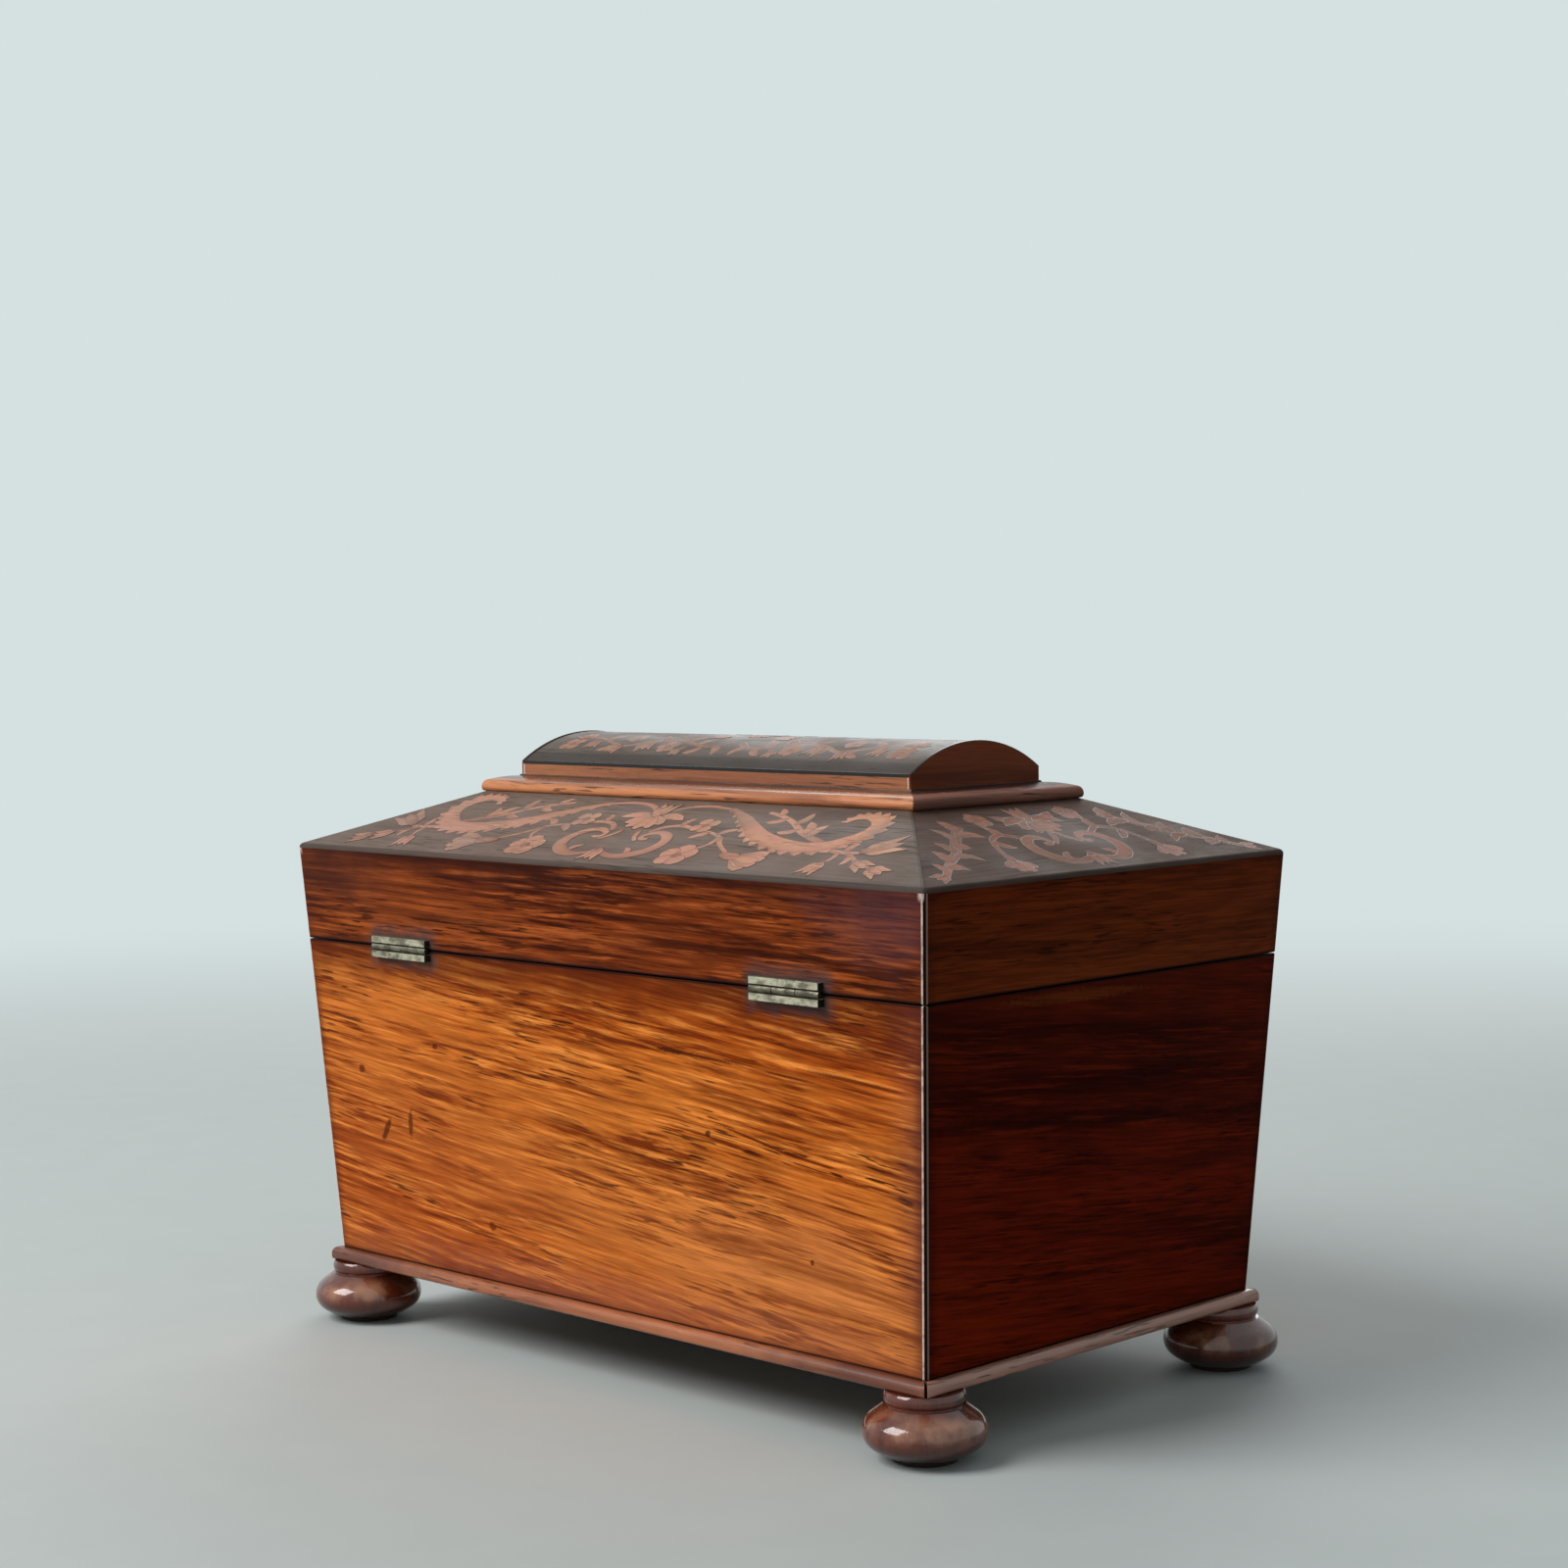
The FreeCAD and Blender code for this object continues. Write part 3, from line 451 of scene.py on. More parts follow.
@cache
def wood_figure() -> Tree:
    """Build the figure of wood: dark bands, straight streaks, clouds of tone, fine fibre and open pores.

    Returns:
        The node group.
    """
    graph, taken, give = new_group("WoodFigure", "Place Run Count Wave", "Bands Streaks Clouds Fibre Pores")
    drift = graph.noise(taken["Place"], DRIFT)
    shift = graph.times(graph.math("SUBTRACT", drift, 0.5), taken["Wave"])
    place = graph.vector("ADD", taken["Place"], graph.join(0.0, shift, shift))
    stretch = graph.join(taken["Run"], taken["Count"], taken["Count"])
    give("Bands", graph.noise(graph.vector("MULTIPLY", place, stretch), 1.0, 4.0, 0.55))
    give("Clouds", graph.noise(place, CLOUDS, 3.0))
    give("Fibre", graph.noise(place, FIBRES, 3.0, 0.6))
    crowd = graph.ease(graph.noise(place, CROWDS), 0.40, 0.58)
    swing = graph.math("SUBTRACT", graph.noise(place, STREAKS, 4.0, 0.62), 0.5)
    strength = graph.math("MULTIPLY_ADD", crowd, 0.6, 0.7)
    give("Streaks", graph.math("MULTIPLY_ADD", swing, strength, 0.5))
    dashes = graph.ease(graph.noise(place, PORES, 1.0), 0.59, 0.67)
    give("Pores", graph.times(dashes, crowd))
    return graph.tree


@cache
def hand_polish() -> Tree:
    """Build the unevenness of an old hand polish: dull clouds, hairline scratches and a faint ripple.

    Returns:
        The node group.
    """
    graph, taken, give = new_group("HandPolish", "Place", "Dull Scratches Ripple")
    place = taken["Place"]
    give("Dull", graph.noise(place, DULL, 4.0))
    hairs = [graph.ease(graph.noise(place, scale, 1.0), 0.68, 0.74) for scale in HAIRS]
    give("Scratches", graph.math("MAXIMUM", *hairs))
    give("Ripple", graph.noise(place, RIPPLE, 1.0))
    return graph.tree


@cache
def tarnish() -> Tree:
    """Build the tarnish of old metal: dark patches, fine file marks and a pitted surface.

    Returns:
        The node group.
    """
    graph, taken, give = new_group("Tarnish", "Place", "Patches Marks Pits")
    place = taken["Place"]
    give("Patches", graph.ease(graph.noise(place, PATCHES, 5.0, 0.65), 0.38, 0.64))
    give("Marks", graph.noise(place, FILE_MARKS, 2.0))
    give("Pits", graph.noise(place, PITS, 3.0))
    return graph.tree


@dataclass(frozen=True)
class Taper:
    """The tapered outline of the case and the frieze: half sizes at the foot and at the lid's edge."""

    foot: tuple[float, float, float]
    edge: tuple[float, float, float]

    def slope(self, axis: int) -> float:
        """Give how far a half size grows with the level."""
        return (self.edge[axis] - self.foot[axis]) / (self.edge[2] - self.foot[2])

    def half(self, level: float) -> Flat:
        """Give half the length and half the depth at a level."""
        rise = level - self.foot[2]
        return self.foot[0] + self.slope(0) * rise, self.foot[1] + self.slope(1) * rise


ROOF_LOW, ROOF_HIGH = box("slope_veneer_back")
TAPER = Taper(tuple(box("base_board")[1]), (ROOF_HIGH.x, ROOF_HIGH.y, ROOF_LOW.z))
RIM, LID_RIM = box("back_wall")[1].z, box("lid_rail_back")[0].z
SEAM = (RIM + LID_RIM) / 2
HINGE_LOW, HINGE_HIGH = box("hinge_leaf_case_right")
HINGE_MIDDLE, HINGE_REACH = (HINGE_LOW.x + HINGE_HIGH.x) / 2, (HINGE_HIGH.x - HINGE_LOW.x) / 2
# How far from a corner, an edge or a hinge each kind of wear, darkening, painted shade and painted highlight starts and
# is full.
BRUISE, LIP_SHADE, CORE, GLINT_BELOW, GLINT_BESIDE = (6.5, 2.2), (0.9, 0.4), (1.02, 0.86), (4.2, 2.2), (3.2, 1.2)
RUB_HIGHLIGHT_OUTER, RUB_HIGHLIGHT_INNER, HIP_LINE, EDGE_LINE, HALO = (1.6, 1.35), (0.88, 1.04), (1.6, 0.53), (0.6, 0.2), (9.5, 2.5)
FOOT_WEIGHT, CORNER_WEIGHT, EDGE_DARK_FULL, EDGE_DARK_WANDER, HALO_WANDER = 5.0, 4.0, -2.0, 14.0, 6.0
# How far the edge of a patch wanders, and where it then lies on average.
RAGGED = 1.4
OVAL_EDGE = 1.0 + RAGGED / 2


@cache
def panel_wear() -> Tree:
    """Build the masks of an old panel: edges that darken, painted shade on the lips at the seam and the foot, bruised,
    split and rubbed upright corners with a painted highlight along the rubbed lines, and a painted glint at the
    corners' tops.

    Returns:
        The node group.
    """
    graph, taken, give = new_group("PanelWear", "Place Low High Reach", "Stain Bruise Lips Core Rub Tip Patchy")
    *plan, level = graph.parts(taken["Place"])
    gaps = []
    for axis, part in enumerate(plan):
        at_zero = TAPER.foot[axis] - TAPER.slope(axis) * TAPER.foot[2]
        half = graph.math("MULTIPLY_ADD", level, TAPER.slope(axis), at_zero)
        gaps.append(graph.math("SUBTRACT", half, graph.math("ABSOLUTE", part)))
    corner = graph.math("MAXIMUM", *gaps)
    below, above = graph.math("SUBTRACT", level, taken["Low"]), graph.math("SUBTRACT", taken["High"], level)
    rim = graph.math("MINIMUM", graph.times(below, FOOT_WEIGHT), above)
    beside = graph.math("MINIMUM", graph.times(corner, CORNER_WEIGHT), rim)
    # Darker towards the upright corners, the foot and the top edge, with a wandering border.
    mottle = graph.math("MULTIPLY_ADD", graph.noise(taken["Place"], 70, 4.0), EDGE_DARK_WANDER, -EDGE_DARK_WANDER / 2)
    give("Stain", graph.ease(graph.math("ADD", beside, mottle), taken["Reach"], EDGE_DARK_FULL))
    give("Bruise", graph.ease(corner, *BRUISE))
    # Painted shade: the lips at the top and the bottom edge, along the seam and the foot, darkened where shade falls.
    give("Lips", graph.ease(graph.math("MINIMUM", below, above), *LIP_SHADE))
    give("Core", graph.ease(corner, *CORE))
    # Pale wear and a painted highlight on each side of the corner split.
    give("Rub", graph.times(graph.ease(corner, *RUB_HIGHLIGHT_OUTER), graph.ease(corner, *RUB_HIGHLIGHT_INNER)))
    # Painted glint at the top of each upright corner.
    give("Tip", graph.times(graph.ease(above, *GLINT_BELOW), graph.ease(corner, *GLINT_BESIDE)))
    give("Patchy", graph.ease(graph.noise(taken["Place"], (700, 700, 420), 3.0), 0.34, 0.60))
    return graph.tree


@cache
def slope_lines() -> Tree:
    """Build the mask of the dark lines along a slope's hips and its lower edge.

    Returns:
        The node group.
    """
    graph, taken, give = new_group("SlopeLines", "Place Share", "Lines")
    *plan, level = graph.parts(taken["Place"])
    gaps = [graph.math("SUBTRACT", half, graph.math("ABSOLUTE", part)) for half, part in zip(TAPER.edge, plan)]
    hips = graph.ease(graph.apart(*gaps), *HIP_LINE)
    edge = graph.ease(graph.math("SUBTRACT", level, TAPER.edge[2]), *EDGE_LINE)
    give("Lines", graph.math("MAXIMUM", graph.times(hips, taken["Share"]), edge))
    return graph.tree


@cache
def sand_shade() -> Tree:
    """Build the masks of sawn veneer: warmer pieces, greyer pieces, and the scorch where a piece has the least tone.

    Returns:
        The node group.
    """
    graph, taken, give = new_group("SandShade", "Place Tone", "Blush Faded Scorch")
    hue = graph.noise(taken["Place"], 48, 1.0)
    give("Blush", graph.ease(hue, 0.52, 0.62))
    give("Faded", graph.ease(hue, 0.48, 0.36))
    give("Scorch", graph.ease(taken["Tone"], 1.0, 0.0))
    return graph.tree


@cache
def hinge_residue_and_shade() -> Tree:
    """Build the dark halo round the two hinges: residue of old brass and polish in the wood, and painted shade about
    the hinges.

    Returns:
        The node group.
    """
    graph, taken, give = new_group("HingeResidueAndShade", "Place", "Stain")
    across, back, level = graph.parts(taken["Place"])
    beside = graph.apart(graph.math("ABSOLUTE", across), HINGE_MIDDLE)
    gaps = ((beside, HINGE_REACH), (graph.apart(level, SEAM), SEAM - HINGE_LOW.z))
    beyond = [graph.math("MAXIMUM", graph.math("SUBTRACT", gap, reach), 0.0) for gap, reach in gaps]
    far = graph.math("SQRT", graph.math("ADD", *[graph.math("POWER", gap, 2.0) for gap in beyond]))
    ragged = graph.math("MULTIPLY_ADD", graph.noise(taken["Place"], 260, 3.0), HALO_WANDER, far)
    # Residue and painted shade round the hinges, on the back only.
    give("Stain", graph.times(graph.ease(ragged, *HALO), graph.ease(back, 0.0, 1.0)))
    return graph.tree


@cache
def soft_oval() -> Tree:
    """Build the mask of a ragged oval on a panel, whose places are in millimetres.

    Returns:
        The node group.
    """
    graph, taken, give = new_group("SoftOval", "Place Centre Size Lean Ragged Inner Outer", "Mask")
    offset = graph.vector("SUBTRACT", taken["Place"], taken["Centre"])
    turn = graph.times(taken["Lean"], -1.0)
    turned_offset = graph.add("VectorRotate", {"Vector": offset, "Angle": turn}, rotation_type="Z_AXIS").outputs[0]
    spread = graph.add("VectorMath", {0: graph.vector("DIVIDE", turned_offset, taken["Size"])}, operation="LENGTH")
    spot = graph.add("VectorMath", {0: taken["Place"], "Scale": taken["Ragged"]}, operation="SCALE").outputs[0]
    rough = graph.math("MULTIPLY_ADD", graph.noise(spot, 1.0, 3.0), RAGGED, spread.outputs["Value"])
    give("Mask", graph.ease(rough, taken["Outer"], taken["Inner"]))
    return graph.tree


@dataclass(frozen=True)
class Finish:
    """A surface finish, whose material is made once."""

    name: str

    def material(self) -> bpy.types.Material:
        """Give the finish's material."""
        return bpy.data.materials.get(self.name) or self.make()

    def make(self) -> bpy.types.Material:
        """Build the material.

        Returns:
            The material.
        """
        made = bpy.data.materials.new(self.name)
        made.use_nodes = True
        made.node_tree.nodes.clear()
        graph = Graph(made.node_tree)
        shader = graph.add("BsdfPrincipled", self.surface(graph))
        graph.add("OutputMaterial", {"Surface": shader.outputs[0]})
        return made

    def surface(self, graph: Graph) -> dict:
        """Give what the shader's inputs hold."""
        raise NotImplementedError

    def aged(self, graph: Graph, colour: Socket) -> Socket:
        """Give the colour with its age, of which a plain finish shows none."""
        return colour


@dataclass(frozen=True)
class Wood(Finish):
    """A polished wood with bands, clouds of tone, fibre and pores."""

    grain: Grain = Grain.ALONG_X
    dark: str = "4a1e0c"
    body: str = "a5571d"
    light: str = "c97f35"
    pore: str = "2c1006"
    run: float = 7.0
    count: float = 120.0
    wave: float = 9.0
    tilt: float = -0.02
    band_from: float = 0.46
    band_to: float = 0.68
    band_share: float = 0.75
    cloud_share: float = 0.6
    streak_share: float = 0.14
    fibre_share: float = 0.12
    pore_share: float = 0.75
    roughness: float = 0.36
    gloss: float = 0.25
    coat: float = 0.25
    coat_roughness: float = 0.12
    polished: float = -0.08
    dulled: float = 0.1
    scratched: float = 0.08
    relief: float = 0.04
    pore_height: float = -0.8
    fibre_height: float = 0.25

    def surface(self, graph: Graph) -> dict:
        """Lay the figure, the age and the polish over each other.

        Args:
            graph: The material's graph.

        Returns:
            The shader's inputs.
        """
        place = graph.grain_place(self.grain, self.tilt)
        wood = graph.effect(wood_figure(), Place=place, Run=self.run, Count=self.count, Wave=self.wave * MM)
        polish = graph.effect(hand_polish(), Place=place)
        clouds = graph.ease(wood["Clouds"], 0.34, 0.66, 0.0, self.cloud_share)
        colour = graph.mix(clouds, tint(self.body), tint(self.light))
        colour = self.toned(graph, colour)
        bands = graph.ease(wood["Bands"], self.band_from, self.band_to, 0.0, self.band_share)
        colour = graph.mix(bands, colour, tint(self.dark))
        for end, tone in ((0.34, self.dark), (0.66, self.light)):
            streaks = graph.ease(wood["Streaks"], 0.5, end, 0.0, self.streak_share)
            colour = graph.mix(streaks, colour, tint(tone))
        fibre = graph.ease(wood["Fibre"], 0.3, 0.7, 1 - self.fibre_share, 1 + self.fibre_share)
        colour = graph.mix(1.0, colour, fibre, "MULTIPLY")
        colour = graph.lay(wood["Pores"], self.pore_share, colour, self.pore)
        colour = self.aged(graph, colour)
        dull = graph.ease(polish["Dull"], 0.3, 0.7, self.roughness + self.polished, self.roughness + self.dulled)
        rough = graph.math("MULTIPLY_ADD", polish["Scratches"], self.scratched, dull)
        height = graph.math("MULTIPLY_ADD", wood["Pores"], self.pore_height, polish["Ripple"])
        height = graph.math("MULTIPLY_ADD", wood["Fibre"], self.fibre_height, height)
        bump = graph.add("Bump", {"Strength": 1.0, "Distance": self.relief * MM, "Height": height})
        return {"Base Color": colour, "Roughness": rough, "Normal": bump.outputs[0],
                "Specular IOR Level": self.gloss, "Coat Weight": self.coat, "Coat Roughness": self.coat_roughness}

    def toned(self, graph: Graph, colour: Socket) -> Socket:
        """Give the colour with its zones of tone, of which plain wood has none."""
        return colour


@dataclass(frozen=True)
class Patch:
    """A mark or a zone of tone on a panel: its place along and up, its size, its lean in degrees and its colour."""

    along: float
    level: float
    length: float
    width: float
    lean: float = 0.0
    colour: str = "3a1204"
    share: float = 0.85
    soft: float = 0.35

    def over(self, graph: Graph, spot: Socket, colour: Socket) -> Socket:
        """Lay the patch over a colour.

        Args:
            graph: The material's graph.
            spot: The place on the panel in millimetres, along and up.
            colour: The colour underneath.

        Returns:
            The colour with the patch.
        """
        mask = graph.effect(
            soft_oval(), Place=spot, Centre=(self.along, self.level, 0.0), Size=(self.length / 2, self.width / 2, 1.0),
            Lean=math.radians(self.lean), Ragged=2.0 / self.width, Inner=OVAL_EDGE - self.soft,
            Outer=OVAL_EDGE + self.soft)["Mask"]
        return graph.lay(mask, self.share, colour, self.colour)


@dataclass(frozen=True)
class ZonedWood(Wood):
    """A wood with zones of another tone at chosen places along and up."""

    zones: tuple[Patch, ...] = ()

    def spot(self, graph: Graph) -> Socket:
        """Give the place on the panel in millimetres, along and up."""
        parts = graph.parts(graph.object_place())
        return graph.join(parts[self.grain.value[0]], parts[2], 0.0)

    def toned(self, graph: Graph, colour: Socket) -> Socket:
        """Lay on the zones of tone.

        Args:
            graph: The material's graph.
            colour: The wood's colour.

        Returns:
            The toned colour.
        """
        spot = self.spot(graph)
        for zone in self.zones:
            colour = zone.over(graph, spot, colour)
        return colour


@dataclass(frozen=True)
class PanelWood(ZonedWood):
    """A wood of the case or the frieze, darkened towards the panel's edges, with painted shade along its seam and foot,
    and worn at its corners with a painted highlight and glint.
    """

    low: float = 0.0
    high: float = 0.0
    stain: str = "3f1a16"
    edge_dark_reach: float = 12.0
    edge_dark_share: float = 0.6
    bruise: str = "4a2018"
    bruise_share: float = 0.25
    # The dark colour of the corner splits, also used for the painted shade along the lips.
    core: str = "1c0f0d"
    core_share: float = 0.9
    # The pale colour of the rubbed corners: partly wear, partly a painted highlight.
    worn: str = "f0d2c6"
    wear_and_highlight_least: float = 0.5
    wear_and_highlight_share: float = 0.97
    # Share of the painted glint at the top of the corners.
    glint_share: float = 0.0
    halo: str = "483d3e"
    hinge_share: float = 0.0
    # Share of the painted shade along the lips.
    lip_shade_share: float = 0.8
    marks: tuple[Patch, ...] = ()

    def aged(self, graph: Graph, colour: Socket) -> Socket:
        """Darken the edges, darken the wood round the hinges with residue and painted shade, mark it, paint shade along
        the lips, and wear its corners pale with a painted highlight and glint.

        Args:
            graph: The material's graph.
            colour: The wood's colour.

        Returns:
            The aged colour.
        """
        place, spot = graph.object_place(), self.spot(graph)
        wear = graph.effect(panel_wear(), Place=place, Low=self.low, High=self.high, Reach=self.edge_dark_reach)
        colour = graph.lay(wear["Stain"], self.edge_dark_share, colour, self.stain)
        if self.hinge_share:
            halo = graph.effect(hinge_residue_and_shade(), Place=place)["Stain"]
            # Residue and painted shade round the hinges.
            colour = graph.lay(halo, self.hinge_share, colour, self.halo)
        for mark in self.marks:
            colour = mark.over(graph, spot, colour)
        colour = graph.lay(wear["Bruise"], self.bruise_share, colour, self.bruise)
        # Painted shade along the seam and the foot, in the dark colour of the corner splits.
        lip_shade = graph.times(wear["Lips"], self.lip_shade_share)
        dark = graph.math("MAXIMUM", lip_shade, graph.times(wear["Core"], self.core_share))
        colour = graph.mix(dark, colour, tint(self.core))
        patchy = graph.math("MULTIPLY_ADD", wear["Patchy"], self.wear_and_highlight_share - self.wear_and_highlight_least, self.wear_and_highlight_least)
        # Painted glint at the tops of the corners, where the finish has one.
        tip = graph.times(wear["Tip"], self.glint_share)
        rub_highlight_and_glint = graph.math("MAXIMUM", wear["Rub"], tip)
        # Pale wear with a painted highlight along the corners, and the painted glint.
        return graph.mix(graph.times(rub_highlight_and_glint, patchy), colour, tint(self.worn))


@dataclass(frozen=True)
class Metal(Finish):
    """An old metal with tarnish, file marks and pits."""

    bright: str = "b5aa84"
    dark: str = "4c4632"
    tarnish_share: float = 0.7
    roughness: float = 0.34
    patch_roughness: float = 0.28
    patch_metallic: float = 0.75
    mark_tones: Flat = (0.86, 1.12)
    pit_height: float = 0.6
    relief: float = 0.02

    def surface(self, graph: Graph) -> dict:
        """Lay tarnish over the metal.

        Args:
            graph: The material's graph.

        Returns:
            The shader's inputs.
        """
        age = graph.effect(tarnish(), Place=graph.object_place())
        patches = graph.times(age["Patches"], self.tarnish_share)
        colour = graph.mix(patches, tint(self.bright), tint(self.dark))
        streak = graph.ease(age["Marks"], 0.3, 0.7, *self.mark_tones)
        colour = graph.mix(1.0, colour, streak, "MULTIPLY")
        colour = self.aged(graph, colour)
        rough = graph.math("MULTIPLY_ADD", patches, self.patch_roughness, self.roughness)
        height = graph.math("MULTIPLY_ADD", age["Pits"], self.pit_height, age["Marks"])
        bump = graph.add("Bump", {"Strength": 1.0, "Distance": self.relief * MM, "Height": height})
        metallic = graph.ease(patches, 0.0, 1.0, 1.0, self.patch_metallic)
        return {"Base Color": colour, "Metallic": metallic, "Roughness": rough, "Normal": bump.outputs[0]}


@dataclass(frozen=True)
class HingeMetal(Metal):
    """The brass of the hinges, darker on the barrels, with painted shade on the ends."""

    barrel_dark_and_end_shade: str = "2c281d"
    barrel_share: float = 0.65
    barrel_reach: float = 1.3
    barrel_blur: float = 0.15
    end_shade_share: float = 0.95
    end_shade_reach: float = 0.45

    def aged(self, graph: Graph, colour: Socket) -> Socket:
        """Darken the barrels and paint shade on the ends.

        Args:
            graph: The material's graph.
            colour: The metal's colour.

        Returns:
            The aged colour.
        """
        across, _, level = graph.parts(graph.object_place())
        away = graph.apart(level, SEAM)
        barrel = graph.ease(away, self.barrel_reach + self.barrel_blur, self.barrel_reach, 0.0, self.barrel_share)
        beside = graph.apart(graph.math("ABSOLUTE", across), HINGE_MIDDLE)
        # Painted shade on the two ends of each hinge.
        inner, outer = HINGE_REACH - self.end_shade_reach, HINGE_REACH - self.end_shade_reach / 3
        ends = graph.ease(beside, inner, outer, 0.0, self.end_shade_share)
        return graph.mix(graph.math("MAXIMUM", barrel, ends), colour, tint(self.barrel_dark_and_end_shade))


@dataclass(frozen=True)
class TurnedWood(Wood):
    """The wood of a turned foot, with painted shade underneath and rubbed paler round its belly."""

    shade: str = "160806"
    shade_level: float = 9.0
    shade_floor: float = 2.5
    shade_share: float = 0.9
    rubbed: str = "b88264"
    rubbed_level: float = 12.0
    rubbed_reach: float = 5.0
    rubbed_share: float = 0.7

    def aged(self, graph: Graph, colour: Socket) -> Socket:
        """Rub the belly and paint shade on the underside.

        Args:
            graph: The material's graph.
            colour: The wood's colour.

        Returns:
            The aged colour.
        """
        place = graph.object_place()
        level = graph.parts(place)[2]
        near = graph.ease(graph.apart(level, self.rubbed_level), self.rubbed_reach, 1.0)
        patchy = graph.ease(graph.noise(place, 90, 4.0), 0.42, 0.66, 0.0, self.rubbed_share)
        colour = graph.mix(graph.times(near, patchy), colour, tint(self.rubbed))
        # Painted shade on the underside, which faces the floor.
        shade = graph.ease(level, self.shade_level, self.shade_floor, 0.0, self.shade_share)
        return graph.mix(shade, colour, tint(self.shade))


@dataclass(frozen=True)
class SandShaded(ZonedWood):
    """A pale veneer in warmer and greyer pieces, scorched deepest where a sawn piece carries the least tone."""

    scorch: str = "6a4232"
    scorch_share: float = 0.75
    blush: str = "c48a78"
    faded: str = "9c8274"
    hue_share: float = 0.5

    def aged(self, graph: Graph, colour: Socket) -> Socket:
        """Vary the hue, and scorch the colour by the tone that the piece carries.

        Args:
            graph: The material's graph.
            colour: The wood's colour.

        Returns:
            The aged colour.
        """
        tone = graph.add("Attribute", attribute_name=TONE).outputs["Fac"]
        shade = graph.effect(sand_shade(), Place=graph.object_place(), Tone=tone)
        colour = graph.lay(shade["Blush"], self.hue_share, colour, self.blush)
        colour = graph.lay(shade["Faded"], self.hue_share, colour, self.faded)
        return graph.lay(shade["Scorch"], self.scorch_share, colour, self.scorch)


@dataclass(frozen=True)
class SlopeWood(ZonedWood):
    """The ground of the sloping roof, dark along its lower edge and its hips."""

    line: str = "332a28"
    line_share: float = 0.55
    hip_share: float = 0.7

    def aged(self, graph: Graph, colour: Socket) -> Socket:
        """Darken the lower edge and the hips."""
        lines = graph.effect(slope_lines(), Place=graph.object_place(), Share=self.hip_share)["Lines"]
        return graph.lay(lines, self.line_share, colour, self.line)


@dataclass(frozen=True)
class DomeWood(Wood):
    """The ground of the dome, darker along its two long edges and at its ends."""

    edge: float = 31.5
    end: float = 92.0
    border: float = 7.0
    border_blur: float = 0.7
    end_border: Flat = (1.6, 0.6)
    border_colour: str = "2b2523"
    border_share: float = 0.62

    def aged(self, graph: Graph, colour: Socket) -> Socket:
        """Darken the borders.

        Args:
            graph: The material's graph.
            colour: The wood's colour.

        Returns:
            The aged colour.
        """
        along, across = (graph.math("ABSOLUTE", part) for part in graph.parts(graph.object_place())[:2])
        inner, outer = self.edge - self.border, self.edge - self.border * self.border_blur
        sides = graph.ease(across, inner, outer, 0.0, self.border_share)
        ends = graph.ease(along, *(self.end - gap for gap in self.end_border), 0.0, self.border_share)
        return graph.mix(graph.math("MAXIMUM", sides, ends), colour, tint(self.border_colour))


TONE = "tone"
FLOOR_LEVEL, EDGE_LEVEL = TAPER.foot[2], TAPER.edge[2]
PLINTH_LOW, PLINTH_HIGH = box("plinth_band_back")
DOME_LOW, DOME_HIGH = box("dome_veneer")
BACK_ZONES = (
    Patch(-15, 98, 200, 52, 4, "d07426", 0.5, 0.9),
    Patch(-95, 47, 100, 38, 4, "ea8e4c", 0.85, 0.9),
    Patch(105, 50, 120, 60, 4, "a64418", 0.55, 0.9),
    Patch(-30, 76, 110, 13, 6, "8c400a", 0.5, 0.8),
    Patch(30, 118.5, 26, 7, 3, "6f2e05", 0.55, 0.7),
    Patch(-128, 124, 60, 14, 3, "602410", 0.6, 0.8),
)
BACK_MARKS = (
    Patch(92, 72, 150, 96, 3, "b2541c", 0.24, 0.9),
    Patch(-60, 47, 180, 36, 4, "c46e34", 0.38, 0.9),
    Patch(-147, 66, 20, 150, 0, "6e3c38", 0.5, 0.9),
    Patch(-20, 29, 300, 14, 0, "a4604a", 0.4, 0.9),
    Patch(110.5, 72.3, 10, 2.6, 122, "5c2206"),
    Patch(96.5, 76, 9.5, 2.4, 95, "642806"),
    Patch(122.5, 93, 3.4, 2.8, 0, "642004"),
    Patch(80, 105, 2.8, 2.2, 0, "642004"),
    Patch(55, 45, 3.6, 3, 0, "702604"),
    Patch(-55, 89.8, 2.4, 2, 0, "4a1804"),
    Patch(-77, 90, 30, 0.9, 11, "4a1804"),
    Patch(-50, 114.3, 34, 1.2, 3, "5a2006"),
    Patch(-40, 114.8, 12, 1.6, 3, "4a1804"),
    Patch(-92, 111.5, 22, 0.9, 4, "5a2006"),
    Patch(6, 106, 18, 1, 5, "5a2006"),
    Patch(-22, 104, 11, 0.9, 5, "5a2006"),
    Patch(-118, 113, 40, 1.1, 4, "6a2a08"),
    Patch(-98, 54.8, 1.8, 1.6, 0, "642004"),
)
CASE_BACK = PanelWood(
    "case_back_rosewood", dark="702300", body="b04c0c", light="ee8e3e", pore="3c1502", low=FLOOR_LEVEL, high=RIM,
    run=9.0, count=240.0, wave=5.0, tilt=-0.09, band_share=0.66, streak_share=0.9, fibre_share=0.28, pore_share=0.92,
    stain="561c04", edge_dark_reach=22.0, edge_dark_share=0.85, hinge_share=0.85, gloss=0.04, coat=0.0,
    zones=BACK_ZONES, marks=BACK_MARKS)
CASE_FRONT = replace(CASE_BACK, name="case_front_rosewood", hinge_share=0.0, zones=BACK_ZONES[:3], marks=())
END_ZONES = (
    Patch(0, 112, 260, 46, 3, "2a0903", 0.65, 0.9),
    Patch(0, 94, 220, 5, 5, "1c0502", 0.7, 0.7),
    Patch(16.5, 134.3, 62, 3.4, 1, "7a3a14", 0.6, 0.4),
)
